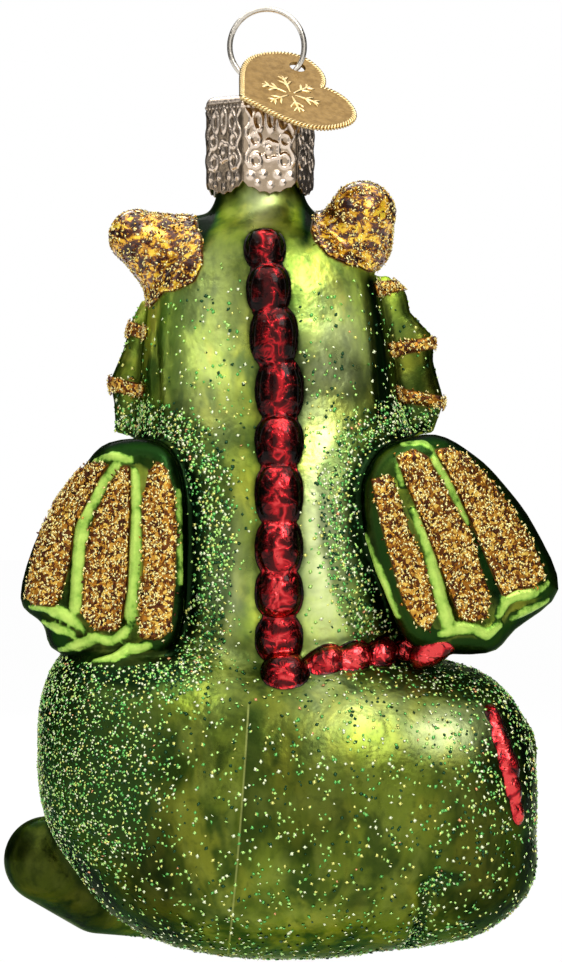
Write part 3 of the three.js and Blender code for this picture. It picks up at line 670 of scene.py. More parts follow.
# Gold glitter lies on the horns, the wings' panels and the frills' ribs
WING_PANELS = {
    "left_wing_outer_gold": [
        (-19.7, -52.2), (-17.9, -52.5), (-18.8, -53.8), (-20.8, -57.6), (-21.9, -59.5), (-22.2, -62.9),
        (-23.3, -66.9), (-24.1, -68.5), (-26.5, -68.3), (-27.3, -67.4), (-26.9, -64.7), (-25.6, -60.1),
        (-23.7, -56.4), (-21.4, -53.4)],
    "left_wing_middle_gold": [
        (-16.2, -52.6), (-15.4, -52.7), (-15.4, -57.6), (-15.7, -66.2), (-16.3, -69.6), (-16.9, -71.1),
        (-19.2, -71.1), (-20.9, -69.2), (-20.4, -62), (-19.4, -58.3), (-17.6, -54.4)],
    "left_wing_inner_gold": [
        (-12.3, -52.1), (-11.3, -53), (-10.5, -55.6), (-10.2, -60.1), (-10.4, -66.2), (-10.9, -71.1),
        (-12, -72), (-14.1, -72), (-14.3, -68), (-13.8, -64), (-14, -57), (-13.2, -53.4)],
    "right_wing_inner_gold": [
        (11.9, -54.2), (13.9, -53.6), (14.9, -56.4), (15.9, -59.6), (17.6, -63.2), (18.4, -66.2),
        (19.2, -69.2), (18.2, -71.1), (16.9, -70.3), (15.4, -67.7), (14.3, -64), (12.9, -59)],
    "right_wing_middle_gold": [
        (14.7, -51.6), (16.5, -50.8), (18.2, -51.6), (19.5, -54), (21.5, -57.6), (23, -60.1), (24.1, -64),
        (25.2, -67.4), (24.8, -69.6), (23.3, -70.2), (21.8, -69.7), (19.6, -64), (17.1, -57.6),
        (15.6, -54.2)],
    "right_wing_outer_gold": [
        (19, -50.8), (20.7, -50.6), (22.6, -51.6), (25.2, -54.2), (27.8, -57.6), (30.1, -61.3),
        (31.6, -65.1), (30.1, -66.4), (28.2, -66.6), (26.9, -67.4), (26, -65.5), (23.7, -60.1), (21, -54.4)],
}
FRILL_RIBS = {
    "left_frill_upper_rib": [(-16.4, -36.4), (-12.9, -37.6)],
    "left_frill_lower_rib": [(-18.5, -42.9), (-13.3, -44.1)],
    "right_frill_upper_rib": [(12.4, -32.2), (15.9, -31.4)],
    "right_frill_middle_rib": [(13.3, -39.3), (19.4, -38.2)],
    "right_frill_lower_rib": [(14.6, -44.2), (20.6, -45.2)],
}
HORN_GOLD = {
    "left_horn_gold": [(-11.4, -2.2, -28.9, 5.7), (-15.6, -3.4, -26.2, 4.4)],
    "right_horn_gold": [(9.6, -3, -26.1, 4.8), (11.6, -4.2, -23.6, 4.4)],
}
HORN_BACKS = {
    "left_horn_gold": [
        (-19, -25), (-16.6, -22), (-12, -22.6), (-8.6, -24.4), (-7.5, -26.4), (-7.3, -29.4), (-8.2, -31.6),
        (-10.6, -32.6), (-13.2, -32.6), (-14.8, -31.8), (-17.5, -29)],
    "right_horn_gold": [
        (5.3, -24.4), (6.6, -22.4), (7.9, -20.8), (9.6, -18.4), (13, -18.4), (15, -21.6), (15, -26),
        (13.4, -28.9), (11.4, -29.9), (9.2, -29.6), (7, -28.6), (5.5, -26.9), (5.1, -25.6)],
}


def gold_edge(name, p):
    """Distance in mm to the edge of one gold coat, below 0 on the coat."""
    if name in WING_PANELS:
        root_x, root_y, slope = (-9.5, -12.2, 0.4) if name.startswith("left") else (11, -12.2, 0.36)
        behind = p[:, 1] - (root_y + slope * np.abs(p[:, 0] - root_x))
        return np.maximum(to_outline(p, WING_PANELS[name]), behind)
    if name in FRILL_RIBS:
        (ax, az), (bx, bz) = FRILL_RIBS[name]
        strip = nearest_line(p, [(ax, az, 0.75), (bx, bz, 0.6)])
        return np.maximum(strip, np.abs(p[:, 1] - 1.5) - 4.5)
    behind = np.maximum(to_outline(p, HORN_BACKS[name]), p[:, 1] + 1)
    return np.minimum(to_bar(p, HORN_GOLD[name]), behind)


gold_names = [*HORN_GOLD, *WING_PANELS, *FRILL_RIBS]
gold = np.minimum.reduce([gold_edge(name, skin) for name in gold_names])

# Painted shade: dark green laid along the folds round the wings, crest, frills and tail, where shade falls
SHADES = [
    # across, up and half width of the stroke
    [(-19, -49.6, 0.3), (-14, -50, 0.5), (-10.5, -51.5, 0.8), (-8.7, -55, 1), (-8.4, -63, 1.1),
     (-9.3, -70, 0.9), (-10.6, -73.5, 0.6)],
    [(20.6, -48.6, 0.3), (15, -49.4, 0.5), (12, -51, 0.7), (10.2, -54.5, 0.9), (10.3, -60, 0.9),
     (12, -66, 0.8), (14.2, -71, 0.7)],
    [(-25.8, -92.8, 0.2), (-20.7, -99.1, 0.3), (-18.5, -102.2, 0.3), (-16.9, -105.2, 0.2)],
    [(-22, -75.5, 0.6), (-14, -76.6, 0.8), (-9.5, -75, 0.4)],
    [(17, -74.4, 0.5), (24, -75, 0.8), (29, -73.4, 0.5)],
    [(22.6, -59.6, 0.3), (25, -63.8, 0.5), (26.6, -68, 0.5)],
    [(-6.7, -20.4, 0.7), (-6.9, -24, 0.8), (-7.6, -27, 0.3)],
    [(5.1, -20.4, 0.7), (5, -24, 0.6), (4.4, -27, 0.2)],
    [(-27, -58, 0.5), (-22.5, -52.2, 0.8), (-18, -49.6, 0.9), (-13, -49.8, 0.9)],
    [(32, -58, 0.4), (27, -52, 0.7), (21, -48.8, 0.9), (15, -49.2, 0.9)],
    [(27.2, -79.8, 0.2), (29.6, -85, 0.4), (30, -92, 0.3)],
]
SHADES += [FOLDS[1]]
back = y < 2
shade = np.full(len(skin), 9.0)
for stroke in SHADES:
    shade = np.where(back, np.minimum(shade, nearest_line(skin, stroke)), shade)
wings = np.minimum(*[to_outline(skin, FLAPS[n][0]) for n in (2, 3)])
wing_side = np.where(y < 0, wings, 9.0)

glass = mesh_from("blown_glass", skin, quads)
glass.data.shade_smooth()


def brush(piece, name, values):
    layer = piece.data.attributes.new(name, "FLOAT", "POINT")
    layer.data.foreach_set("value", np.asarray(values, np.float32))


# Painted highlights, pale and pearly: across, up, half sizes, strength
PAINTED_HIGHLIGHTS = [
    (6.6, -61.5, 2.7, 12, 1.0), (8.5, -38, 3.4, 6, 0.55), (20.6, -82.2, 4.0, 2.2, 0.35),
    (-6.5, -39, 3.4, 9, 0.35), (-4.6, -66, 2.4, 8, 0.3), (10.5, -79.6, 6, 2.6, 0.15),
    (-0.6, -21.5, 1.6, 4, 0.5)]
# Places across and up on the back, and how light the lacquer is there: sprayed tone and painted light
# together, lighter on the head and down the middle of the neck, darker at the neck's sides and low on the
# body's sides
SPRAY_AND_LIGHT = [
    (-0.5, -23, 1.0), (-5.4, -23, 0.5), (3.6, -23, 0.5), (-9.5, -40, 4.0), (10.5, -36, 5.0), (-5, -34, 0.4),
    (-4.5, -29, 0.45), (7, -31.5, 2.2), (-10, -35, 4.4), (16.5, -36, 0.1), (17, -42, 0.1), (-16, -40, 0.5),
    (-10, -46, 1.6), (10.5, -46.5, 2), (6.8, -42.6, 0.12), (7.6, -43.4, 0.1), (11.5, -40, 2.4),
    (-5, -60, 0.9), (-7, -49, 0.8), (7, -55, 2.4), (7, -68, 2.4), (-15, -62, 0.9), (15, -60, 0.9),
    (-20, -86, 0.08), (-24, -80, 0.08), (-16, -92, 0.14), (-12, -82, 0.42), (-7, -89, 0.62), (3, -82, 0.36),
    (5, -89, 0.34), (20, -83, 0.4), (14, -93, 0.55), (25.5, -92, 0.24), (0, -103, 0.7), (-28, -98, 0.2),
    (-20, -99, 0.2), (-17, -103, 0.16), (29, -85, 0.2), (13, -105, 0.55), (-13, -78, 0.7), (28, -101, 0.18),
    (8, -78.5, 0.75)]
total, sprayed_and_lit = np.full(len(skin), 1e-3), np.full(len(skin), 0.8e-3)
for cx, cz, light in SPRAY_AND_LIGHT:
    near = np.exp(-((x - cx) ** 2 + (z - cz) ** 2) / 18.0)
    total += near
    sprayed_and_lit += near * light
tail_end = (x < -17) & (z < -93)
sprayed_and_lit = np.where(y < np.where(tail_end, 13, 3), sprayed_and_lit / total, 0.85)
pearl = np.zeros(len(skin))
for cx, cz, rx, rz, strength in PAINTED_HIGHLIGHTS:
    here = strength * np.exp(-((x - cx) / rx) ** 2 - ((z - cz) / rz) ** 2)
    pearl = np.maximum(pearl, np.where(back, here, 0.0))


def from_pair(places, stretch=(1, 1, 1)):
    """Distance from the nearer of two points of the face."""
    return np.minimum(*[np.linalg.norm((skin - np.array(c)) / np.array(stretch), axis=1) for c in places])


eye_white = from_pair(((-5.6, 14, -32.4), (5.2, 14, -32.4)), (1, 1, 1.15))
eye_dark = from_pair(((-5.2, 14.4, -32.9), (4.8, 14.4, -32.9)))
nostril = from_pair(((-3.3, 24.6, -37.2), (2.9, 24.6, -37.2)))
mouth = np.where(y > 6, np.abs(z + 43.6 + 0.012 * x ** 2), 9.0)
belly = np.where(y > 4, np.hypot((x - 1) / 9.5, (z + 71) / 21.5) - 1, 1.0) * 9
for name, values in [
        ("red", red), ("bead", bead_lit_and_shaded), ("lime", lime), ("gold", gold), ("claw", claw), ("shade", shade),
        ("wing", wing_side), ("hollow", hollow_fine), ("deep", hollow_broad), ("eye", eye_white),
        ("pupil", eye_dark), ("nostril", nostril), ("mouth", mouth), ("belly", belly), ("pearl", pearl),
        ("spray_and_light", eased(sprayed_and_lit[:, None], 12)[:, 0])]:
    brush(glass, name, values)
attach(glass, "glass")
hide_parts("glass_body")


coat = Paint("green_lacquer_over_silver", Specular_Tint=(0.3, 0.4, 0.16, 1), Coat_Roughness=0.08,
             Coat_IOR=1.33)
mark, cloud, ramp, mix = coat.mark, coat.cloud, coat.ramp, coat.mix
plus, less, times, most = coat.plus, coat.less, coat.times, coat.most
where = coat.put("SeparateXYZ")
coat.join(coat.put("TexCoord").outputs["Object"], where.inputs[0])
across, deep, up = where.outputs
green = (0.050, 0.095, 0.010)
for blotches, share, colour in [
        ((120, 4, 0.62, 0.3, 2.0), (0.36, 0.64), (0.24, 0.32, 0.032)),
        ((190, 3, 0.6, 0.4, 2.0), (0.48, 0.66, 0, 0.75), (0.38, 0.41, 0.04)),
        ((330, 3, 0.5, 0.3, 1.6), (0.42, 0.72, 0, 0.45), (0.42, 0.50, 0.085)),
        ((230, 3, 0.6, 0.3, 1.8), (0.5, 0.68, 0, 0.75), (0.030, 0.070, 0.012)),
        ((720, 3, 0.6, 0.4), (0.5, 0.72, 0, 0.4), (0.035, 0.075, 0.012))]:
    green = mix(ramp(cloud(*blotches), *share), green, colour)
# Spray and painted light: the green made lighter or darker place by place, as listed for the back
lightness = coat.put("CombineColor")
spray_and_light_mark = mark("spray_and_light")
for channel in lightness.inputs:
    coat.join(spray_and_light_mark, channel)
green = mix(1.0, green, lightness.outputs[0], "MULTIPLY")
# Painted highlight: pale lime-cream mixed into the green in soft patches, and less metallic there
painted_glint = times(mark("pearl"), ramp(cloud(260, 3, 0.6, 0.8), 0.3, 0.55, 0.6, 1.0))
green = mix(painted_glint, green, (0.88, 0.96, 0.48))
green = mix(ramp(mark("dense"), 0.15, 1.0, 0, 0.75), green, (0.025, 0.060, 0.012))
# Painted shade: near-black green where the glass curves in, along the drawn shade strokes and in a band round
# the edges of the wings
painted_hollow_shade = times(0.6, most(ramp(mark("hollow"), 0.02, 0.16), ramp(mark("deep"), 0.3, 1.4)))
painted_crease_shade = ramp(plus(mark("shade"), times(cloud(420), 0.8)), 0.2, 1.9, 1, 0)
wing_edge_shade = ramp(coat.math("ABSOLUTE", plus(mark("wing"), 0.2)), 0.5, 1.6, 0.9, 0)
painted_shade = most(most(painted_hollow_shade, painted_crease_shade), wing_edge_shade)
green = mix(painted_shade, green, (0.004, 0.014, 0.003))
web = ramp(mark("wing"), -0.2, -1.2)
green = mix(times(web, ramp(mark("hollow"), -0.02, 0.04, 0.95, 0)), green, (0.008, 0.034, 0.005))
lime_edge = plus(mark("lime"), times(less(cloud(700), 0.5), 0.5))
# Mould seam down the lower back: a band of painted shade beside it on one side, and a pale painted highlight
# along the seam line itself
SEAM_X, SEAM_TOP_Z = -0.00197, -0.0785
from_top = less(up, SEAM_TOP_Z)
line = less(less(across, SEAM_X), times(from_top, 0.065))
line = plus(line, times(from_top, plus(up, 0.0912)))
seam_side_shade = times(ramp(from_top, 0.0, -0.002), ramp(from_top, -0.022, -0.014))
seam_side_shade = times(ramp(line, -0.0001, 0.0001), seam_side_shade)
seam_highlight = times(ramp(coat.math("ABSOLUTE", line), 0.00004, 0.00016, 0.3, 0), ramp(from_top, 0.0, -0.002))
seam_highlight = times(seam_highlight, ramp(deep, 0.0, -0.002))
green = mix(times(seam_side_shade, ramp(line, 0.0035, 0.0001, 0, 0.8)), green, (0.02, 0.04, 0.006))
green = mix(seam_highlight, green, (0.62, 0.66, 0.20))
lime_paint = mix(ramp(lime_edge, 0.1, -0.22), (0.14, 0.34, 0.03), (0.50, 0.70, 0.13))
paint = mix(ramp(lime_edge, 0.12, -0.06), green, lime_paint)
gold_base = ramp(mark("gold"), 0.25, 0.0)
paint = mix(gold_base, paint, (0.12, 0.05, 0.008))
cream = ramp(mark("belly"), 0.3, -0.3)
BELLY_WAVES = 1350.0
# Cream belly plates with dark lines between them: painted shade standing in for grooves between the plates
waves = coat.math("SINE", times(up, BELLY_WAVES))
plates_and_groove_shade = mix(ramp(waves, -1.0, -0.55, 1, 0), (0.52, 0.50, 0.16), (0.10, 0.13, 0.02))
paint = mix(cream, paint, plates_and_groove_shade)
red_edge = plus(mark("red"), times(less(cloud(600), 0.5), 0.25))
low_down = ramp(up, -0.044, -0.064, -0.12, 0.1)
# Painted reflections: light curved loops in the red, laid over the beads' painted light (dark sides, light
# middles), with the lower beads lighter
loops = coat.math("ABSOLUTE", less(cloud(430, 2, 0.5, 0.8), 0.5))
loops = times(coat.math("MINIMUM", times(loops, 7.5), 1.0), 0.66)
ruby_lit_and_shaded = coat.bands(less(plus(times(mark("bead"), 0.75), loops), low_down), [
    (0.0, (0.78, 0.06, 0.06)), (1.0, (0.008, 0.002, 0.002)), (0.22, (0.50, 0.012, 0.018)),
    (0.5, (0.10, 0.004, 0.005))])
on_red = ramp(red_edge, 0.06, -0.06)
paint = mix(on_red, paint, ruby_lit_and_shaded)
for name, outside, inside, colour in [
        ("claw", 0.06, -0.06, (0.75, 0.55, 0.2)), ("mouth", 0.55, 0.3, (0.03, 0.006, 0.004)),
        ("nostril", 1.0, 0.8, (0.01, 0.008, 0.004)), ("eye", 2.35, 2.25, (0.82, 0.80, 0.70)),
        ("pupil", 1.5, 1.4, (0.55, 0.30, 0.03)), ("pupil", 0.95, 0.85, (0.005, 0.005, 0.005))]:
    paint = mix(ramp(mark(name), outside, inside), paint, colour)
coat.show("Base Color", paint)
opaque = most(ramp(mark("eye"), 2.35, 2.25), ramp(lime_edge, 0.12, -0.06))
opaque = most(opaque, most(ramp(mark("claw"), 0.06, -0.06), gold_base))
opaque = most(opaque, times(painted_glint, 0.6))
coat.show("Metallic", ramp(opaque, 0, 1, 0.95, 0.35))
rough = ramp(cloud(260, 3), 0.3, 0.7, 0.27, 0.40)
coat.show("Roughness", less(rough, times(on_red, 0.17)))
coat.show("Coat Weight", ramp(on_red, 0, 1, 0.04, 0.45))
lumps = plus(times(cloud(120, 2), 1.6), plus(cloud(260, 3), times(cloud(1500, 2), 0.12)))
lumps = plus(lumps, times(on_red, times(cloud(850, 2, 0.5, 0.5), 1.6)))
lumps = times(lumps, ramp(up, -0.023, -0.031, 0.2, 1.0))
coat.show("Normal", coat.bump(lumps, 0.32))
coat.on(glass)

# Silver lining: the mirror poured inside the glass and left on it as a thin skin. It is seen
# down the neck when the cap is off, with the melted, rounded rim of the glass round it.
lining_points, lining_faces = skin_over(lambda p: to_form(p, solid_shapes) + WALL, 1.9)
lining_faces = lining_faces[lining_points[lining_faces][:, :, 2].max(1) < NECK_RIM_Z + 0.4, ::-1]
lining_points, lining_faces = only_used(lining_points, lining_faces)
lining_points[:, 2] = np.minimum(lining_points[:, 2], NECK_RIM_Z - 0.3)
lining = mesh_from("silver_lining", lining_points, lining_faces)
lining.data.shade_smooth()
silver = plain_metal("poured_silver", (300, 4), ((0.52, 0.50, 0.46), (0.82, 0.82, 0.80)), (500, 3),
                     (0.12, 0.3))
silver.on(lining)


def add_hoop(name, radius, thickness, centre, steps, rotation=(0, 0, 0)):
    bpy.ops.mesh.primitive_torus_add(
        major_segments=steps, minor_segments=16, major_radius=radius * MM, minor_radius=thickness / 2 * MM,
        location=Vector(centre) * MM, rotation=rotation)
    hoop = bpy.context.object
    hoop.name = name
    bpy.ops.object.transform_apply(location=True, rotation=True, scale=True)
    hoop.data.shade_smooth()
    return hoop


neck_rim = add_hoop("melted_neck_rim", NECK_R - WALL / 2, WALL, (NECK_X, 0, NECK_RIM_Z - 0.48), 64)
clear = plain_metal("melted_glass_edge", (700, 3), ((0.20, 0.25, 0.16), (0.42, 0.48, 0.36)), (900, 2),
                    (0.06, 0.14), metallic=0.4, reach=0.15)
clear.on(neck_rim)
for piece in (lining, neck_rim):
    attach(piece, "glass")

# Foil flakes: thousands of tiny plates cut from coloured foil, dusted on the lacquer while it
# was wet. Most lie on the left haunch and along the edges of the wings.
def dust(name, points, directions, radii, tilt, narrow, rng):
    """One piece holding many flakes, each a thin four-cornered plate pointed front and back."""
    count = len(points)
    lean = directions + rng.normal(0, tilt, (count, 3))
    lean /= np.linalg.norm(lean, axis=1)[:, None]
    helper = rng.normal(0, 1, (count, 3))
    u = np.cross(lean, helper)
    u /= np.linalg.norm(u, axis=1)[:, None]
    v = np.cross(lean, u)
    r = radii[:, None]
    shape = np.stack([points + lean * r * 0.2, points + u * r, points + v * r * narrow, points - u * r,
                      points - v * r * narrow, points - lean * r * 0.2], 1)
    faces = np.array([(0, 1, 2), (0, 2, 3), (0, 3, 4), (0, 4, 1), (5, 2, 1), (5, 3, 2), (5, 4, 3), (5, 1, 4)])
    faces = (np.arange(count)[:, None, None] * 6 + faces).reshape(-1, 3)
    piece = mesh_from(name, shape.reshape(-1, 3), faces)
    brush(piece, "tint", np.repeat(rng.random(count), 6))
    return piece


def spread(density, rng, lift):
    """Random places on the glass, as many to the square millimetre as density says at each corner."""
    tris = np.concatenate([quads[:, [0, 1, 2]], quads[:, [0, 2, 3]]])
    a, b, c = (skin[tris[:, n]] for n in range(3))
    area = np.linalg.norm(np.cross(b - a, c - a), axis=1) / 2
    wanted = rng.poisson(area * density[tris].mean(1))
    picked = np.repeat(np.arange(len(tris)), wanted)
    s, t = rng.random(len(picked)), rng.random(len(picked))
    flip = s + t > 1
    s[flip], t[flip] = 1 - s[flip], 1 - t[flip]
    points = a[picked] + s[:, None] * (b - a)[picked] + t[:, None] * (c - a)[picked]
    facing = normals[tris[picked, 0]]
    return points + facing * lift, facing


rng = np.random.default_rng(24)


def spot(cx, cz, rx, rz, side=-1):
    """1 in the middle of a patch on the back or front, fading to 0 at its edge."""
    return np.clip(1.3 - np.hypot((x - cx) / rx, (z - cz) / rz), 0, 1) * (y * side > -4)


density = np.where(z < -31, 0.55, 0.0) * np.clip((-29 - z) / 6, 0, 1)
density = np.where(z < -74, 1.1, density)
density += 8.5 * spot(-21, -84, 9.5, 14)
density += 2.4 * spot(25, -84, 6, 13) + 1.8 * spot(16, -77.4, 11, 2.4)
density += 1.0 * spot(-5.5, -44, 4, 12) + 0.7 * spot(6, -41, 4, 9)


def along(stroke):
    """Distance in the plane to the middle of a drawn stroke."""
    return nearest_line(skin, [(a, b, 0) for a, b, r in stroke])


borders = np.minimum(np.abs(along(SHADES[0]) - 2.6), np.abs(along(SHADES[1]) - 2.4))
density += np.where(y < 2, 9.5 * np.clip(1.3 - borders / 2.2, 0, 1), 0) * (wings > 0.4)
density += np.where(y < 2, 6.0 * np.clip(1.2 - np.abs(along(FOLDS[0])) / 1.1, 0, 1), 0)
density *= ~(tail_end & (y > 0.3))
density *= (red > 0.2) & (wings > 0.3) & (gold > 0.3) & (lime > 0.2) & (claw > 0.2) & (eye_white > 2.4)
brush(glass, "dense", density / 6)
points, facing = spread(density * 0.95, rng, 0.05)
foil = Paint("iridescent_foil", Metallic=0.5, Roughness=0.22)
foil.show("Base Color", foil.bands(foil.mark("tint"), [
    (0.0, (0.52, 0.86, 0.22)), (0.3, (0.92, 1.0, 0.62)), (0.48, (0.16, 0.56, 0.12)),
    (0.68, (0.86, 0.86, 0.22)), (0.8, (0.012, 0.07, 0.02)), (0.985, (0.95, 0.45, 0.2))], "CONSTANT"))
for n, part in enumerate(np.array_split(np.arange(len(points)), 2)):
    haunch = np.hypot((points[part, 0] + 21) / 9, (points[part, 2] + 85) / 14)
    radii = rng.uniform(0.16, 0.32, len(part)) * (1 - 0.35 * np.clip(1.3 - haunch, 0, 1))
    flakes = dust(f"body_flakes_{n + 1}", points[part], facing[part], radii, 0.36, 0.8, rng)
    foil.on(flakes)
    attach(flakes, "glass")

# Gold coats: coarse gold glitter set in amber glue, brushed on the glass and left to dry. They
# lie on the horns, on three panels of each wing and on the ribs of the frills.
glue = Paint("amber_glue", Metallic=0.7, Roughness=0.35)
tone, lean = glue.chips(2300)
glue.show("Base Color", glue.bands(tone, [
    (0.0, (0.03, 0.006, 0.001)), (1.0, (1.0, 0.68, 0.12)), (0.4, (0.15, 0.040, 0.003)),
    (0.7, (0.50, 0.20, 0.012))]))
glue.show("Normal", glue.bump(lean, 0.12))

thick_glue = Paint("thick_amber_glue", Metallic=0.5, Roughness=0.22, Coat_Weight=0.6)
pool = thick_glue.cloud(640, 3, 0.62, 0.4, 0.6)
tone, lean = thick_glue.chips(1300)
tone = thick_glue.plus(thick_glue.times(tone, 0.5), thick_glue.ramp(pool, 0.36, 0.64, -0.16, 0.56))
thick_glue.show("Base Color", thick_glue.bands(tone, [
    (0.0, (0.02, 0.003, 0.001)), (1.0, (1.0, 0.76, 0.06)), (0.42, (0.12, 0.028, 0.003)),
    (0.56, (0.50, 0.20, 0.008)), (0.74, (0.92, 0.52, 0.02))]))
thick_glue.show("Normal", thick_glue.bump(lean, 0.2))

gold_foil = Paint("gold_foil", Metallic=0.55, Roughness=0.2)
gold_foil.show("Base Color", gold_foil.bands(gold_foil.mark("tint"), [
    (0.0, (0.05, 0.008, 0.002)), (1.0, (1.0, 0.93, 0.48)), (0.2, (0.16, 0.035, 0.004)),
    (0.4, (0.78, 0.38, 0.03)), (0.56, (1.0, 0.82, 0.26))]))

for name in gold_names:
    edge = lambda p, name=name: gold_edge(name, p)
    points, faces = only_used(skin, quads[edge(skin)[quads].max(1) < 0.15])
    pairs, times_used = np.unique(np.sort(sides_of(faces), axis=1), axis=0, return_counts=True)
    rim_points = np.unique(pairs[times_used == 1])
    points[rim_points] = settle(edge, points[rim_points], 4, 0.3, True)
    points = settle(lambda p: glass_form(p) - 0.3, points, 3)
    layer = mesh_from(name + "_coat", points, faces)
    thick = alone(layer).modifiers.new("thickness", "SOLIDIFY")
    thick.thickness = 0.24 * MM
    thick.offset = -1
    bpy.ops.object.modifier_apply(modifier="thickness")
    layer.data.shade_smooth()
    (thick_glue if name in HORN_GOLD else glue).on(layer)
    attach(layer, "glass")
    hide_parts(name)

coarse = np.minimum.reduce([gold_edge(name, skin) for name in HORN_GOLD])
fine_gold = np.minimum.reduce([gold_edge(name, skin) for name in [*WING_PANELS, *FRILL_RIBS]])
for name, edge, many, sizes in [("horn_gold_flakes", coarse, 7.5, (0.14, 0.34)),
                                ("wing_gold_flakes", fine_gold, 13.0, (0.18, 0.32))]:
    points, facing = spread(np.where(edge < 0.1, many, 0.0), rng, 0.34)
    flakes = dust(name, points, facing, rng.uniform(*sizes, len(points)), 0.35, 0.5, rng)
    gold_foil.on(flakes)
    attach(flakes, "glass")

# Neck cap: a six-sided cup of thin bright sheet, pressed with scrolls, ovals and a row of
# beads, its skirt cut in lobes. It is pushed over the glass neck.
CAP_FIRST_FACE = math.radians(18)
CAP_TOP, CAP_EDGE, CAP_SKIRT, CAP_HALF, CAP_BORE = -10.0, 0.9, -20.0, 5.6, 5.3


def cap_radius(turn, apothem):
    total = sum(np.maximum(np.cos(turn - CAP_FIRST_FACE - math.pi * k / 3), 0) ** 40 for k in range(6))
    return apothem / total ** (1 / 40)


def ridge(distance, width):
    return np.exp(-(distance / width) ** 2)


def cap_relief(u, w):
    """Height of the pressed pattern on one face: u across from its middle, w down from the top."""
    side = np.abs(u)
    h = 0.8 * ridge(np.hypot((u + 0.31) % 0.62 - 0.31, w - 0.3), 0.2)
    h += 0.8 * ridge(side - 2.55 - 0.3 * np.sin(w * 2.1 + 0.6), 0.2) * (w > 0.8) * (w < 7.6)
    for cu, cw, ru, rw in [(1.45, 2.1, 0.5, 1.05), (0, 1.9, 0.42, 1.1), (1.75, 4.3, 0.55, 0.7),
                           (1.7, 6.7, 0.6, 0.75)]:
        h += ridge((np.hypot((side - cu) / ru, (w - cw) / rw) - 1) * min(ru, rw), 0.17)
    turned = np.arctan2(w - 5.5, u)
    h += ridge(np.hypot(u, w - 5.5) - 1.05 - 0.12 * np.cos(5 * turned), 0.19) * (np.abs(turned) > 0.5)
    h += ridge(np.hypot(u - 0.15, w - 5.4), 0.36)
    h += ridge(np.hypot(side - 2.3, w - 8.4), 0.42) + ridge(np.hypot(side - 0.85, w - 8.3), 0.36)
    h += 0.8 * ridge(np.hypot(side, w - 9.5), 0.3) + 0.8 * ridge(np.hypot(side - 1.5, w - 9.2), 0.28)
    return np.minimum(h, 1.0)


columns = 336
turn = -2 * math.pi * np.arange(columns) / columns
lobe = np.abs(np.cos((turn - CAP_FIRST_FACE) * 3)) ** 0.7
foot = CAP_SKIRT - 1.4 * lobe + 0.22 * np.abs(np.sin((turn - CAP_FIRST_FACE) * 15))
nearest = (turn - CAP_FIRST_FACE + math.pi / 6) % (math.pi / 3) - math.pi / 6


def cap_ring(apothem, height):
    r = cap_radius(turn, apothem)
    return np.stack([NECK_X + r * np.cos(turn), -r * np.sin(turn), np.broadcast_to(height, r.shape)], 1)


def slot_ring(height):
    r = (np.abs(np.cos(turn) / 0.7) ** 6 + np.abs(np.sin(turn) / 1.6) ** 6) ** (-1 / 6)
    return np.stack([NECK_X + r * np.cos(turn), -r * np.sin(turn), np.full(columns, height)], 1)


rings, relief = [], []
wall_top = CAP_TOP - CAP_EDGE
for t in np.linspace(0, 1, 70):
    z = foot + t * (wall_top - foot)
    pattern = cap_relief(5.7 * np.tan(nearest), wall_top - z)
    fade = np.clip(np.minimum(1 - t, t) * 30, 0, 1)
    rings.append(cap_ring(CAP_HALF + 0.2 * pattern * fade, z))
    relief.append(pattern * fade)
for t in np.linspace(0.15, 1, 7):
    a = t * math.pi / 2
    rings.append(cap_ring(CAP_HALF - CAP_EDGE * (1 - math.cos(a)), wall_top + CAP_EDGE * math.sin(a)))
    relief.append(np.full(columns, 0.7))
for t in np.linspace(0.2, 1, 5):
    rings.append((1 - t) * cap_ring(CAP_HALF - CAP_EDGE, CAP_TOP) + t * slot_ring(CAP_TOP))
    relief.append(np.full(columns, 0.6))
rings.append(slot_ring(CAP_TOP - 0.4))
for t in np.linspace(0.2, 1, 4):
    rings.append((1 - t) * slot_ring(CAP_TOP - 0.4) + t * cap_ring(CAP_BORE - CAP_EDGE, CAP_TOP - 0.4))
for z in (CAP_TOP - CAP_EDGE - 0.2, -14.0, -18.0):
    rings.append(cap_ring(CAP_BORE, z))
rings.append(cap_ring(CAP_BORE, foot))
relief += [np.full(columns, 0.4)] * (len(rings) - len(relief))
corners = np.arange(len(rings) * columns).reshape(len(rings), columns)
low, high = corners, np.roll(corners, -1, 0)
cap_faces = np.stack([low, np.roll(low, -1, 1), np.roll(high, -1, 1), high], -1).reshape(-1, 4)
cap = mesh_from("pressed_neck_cap", np.concatenate(rings), cap_faces)
cap.data.shade_smooth()
brush(cap, "relief", np.concatenate(relief))
bright = Paint("pressed_champagne_metal", Metallic=1.0)
tarnish = bright.ramp(bright.plus(bright.mark("relief"), bright.times(bright.cloud(900), 0.5)), 0.25, 0.6)
bright.show("Base Color", bright.mix(tarnish, (0.42, 0.32, 0.22), (0.84, 0.69, 0.55)))
bright.show("Roughness", bright.ramp(bright.cloud(900, 4), 0.3, 0.7, 0.10, 0.24))
bright.show("Normal", bright.bump(bright.cloud(1800, 4), 0.05))
bright.on(cap)
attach(cap, "cap")
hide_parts("neck_cap")

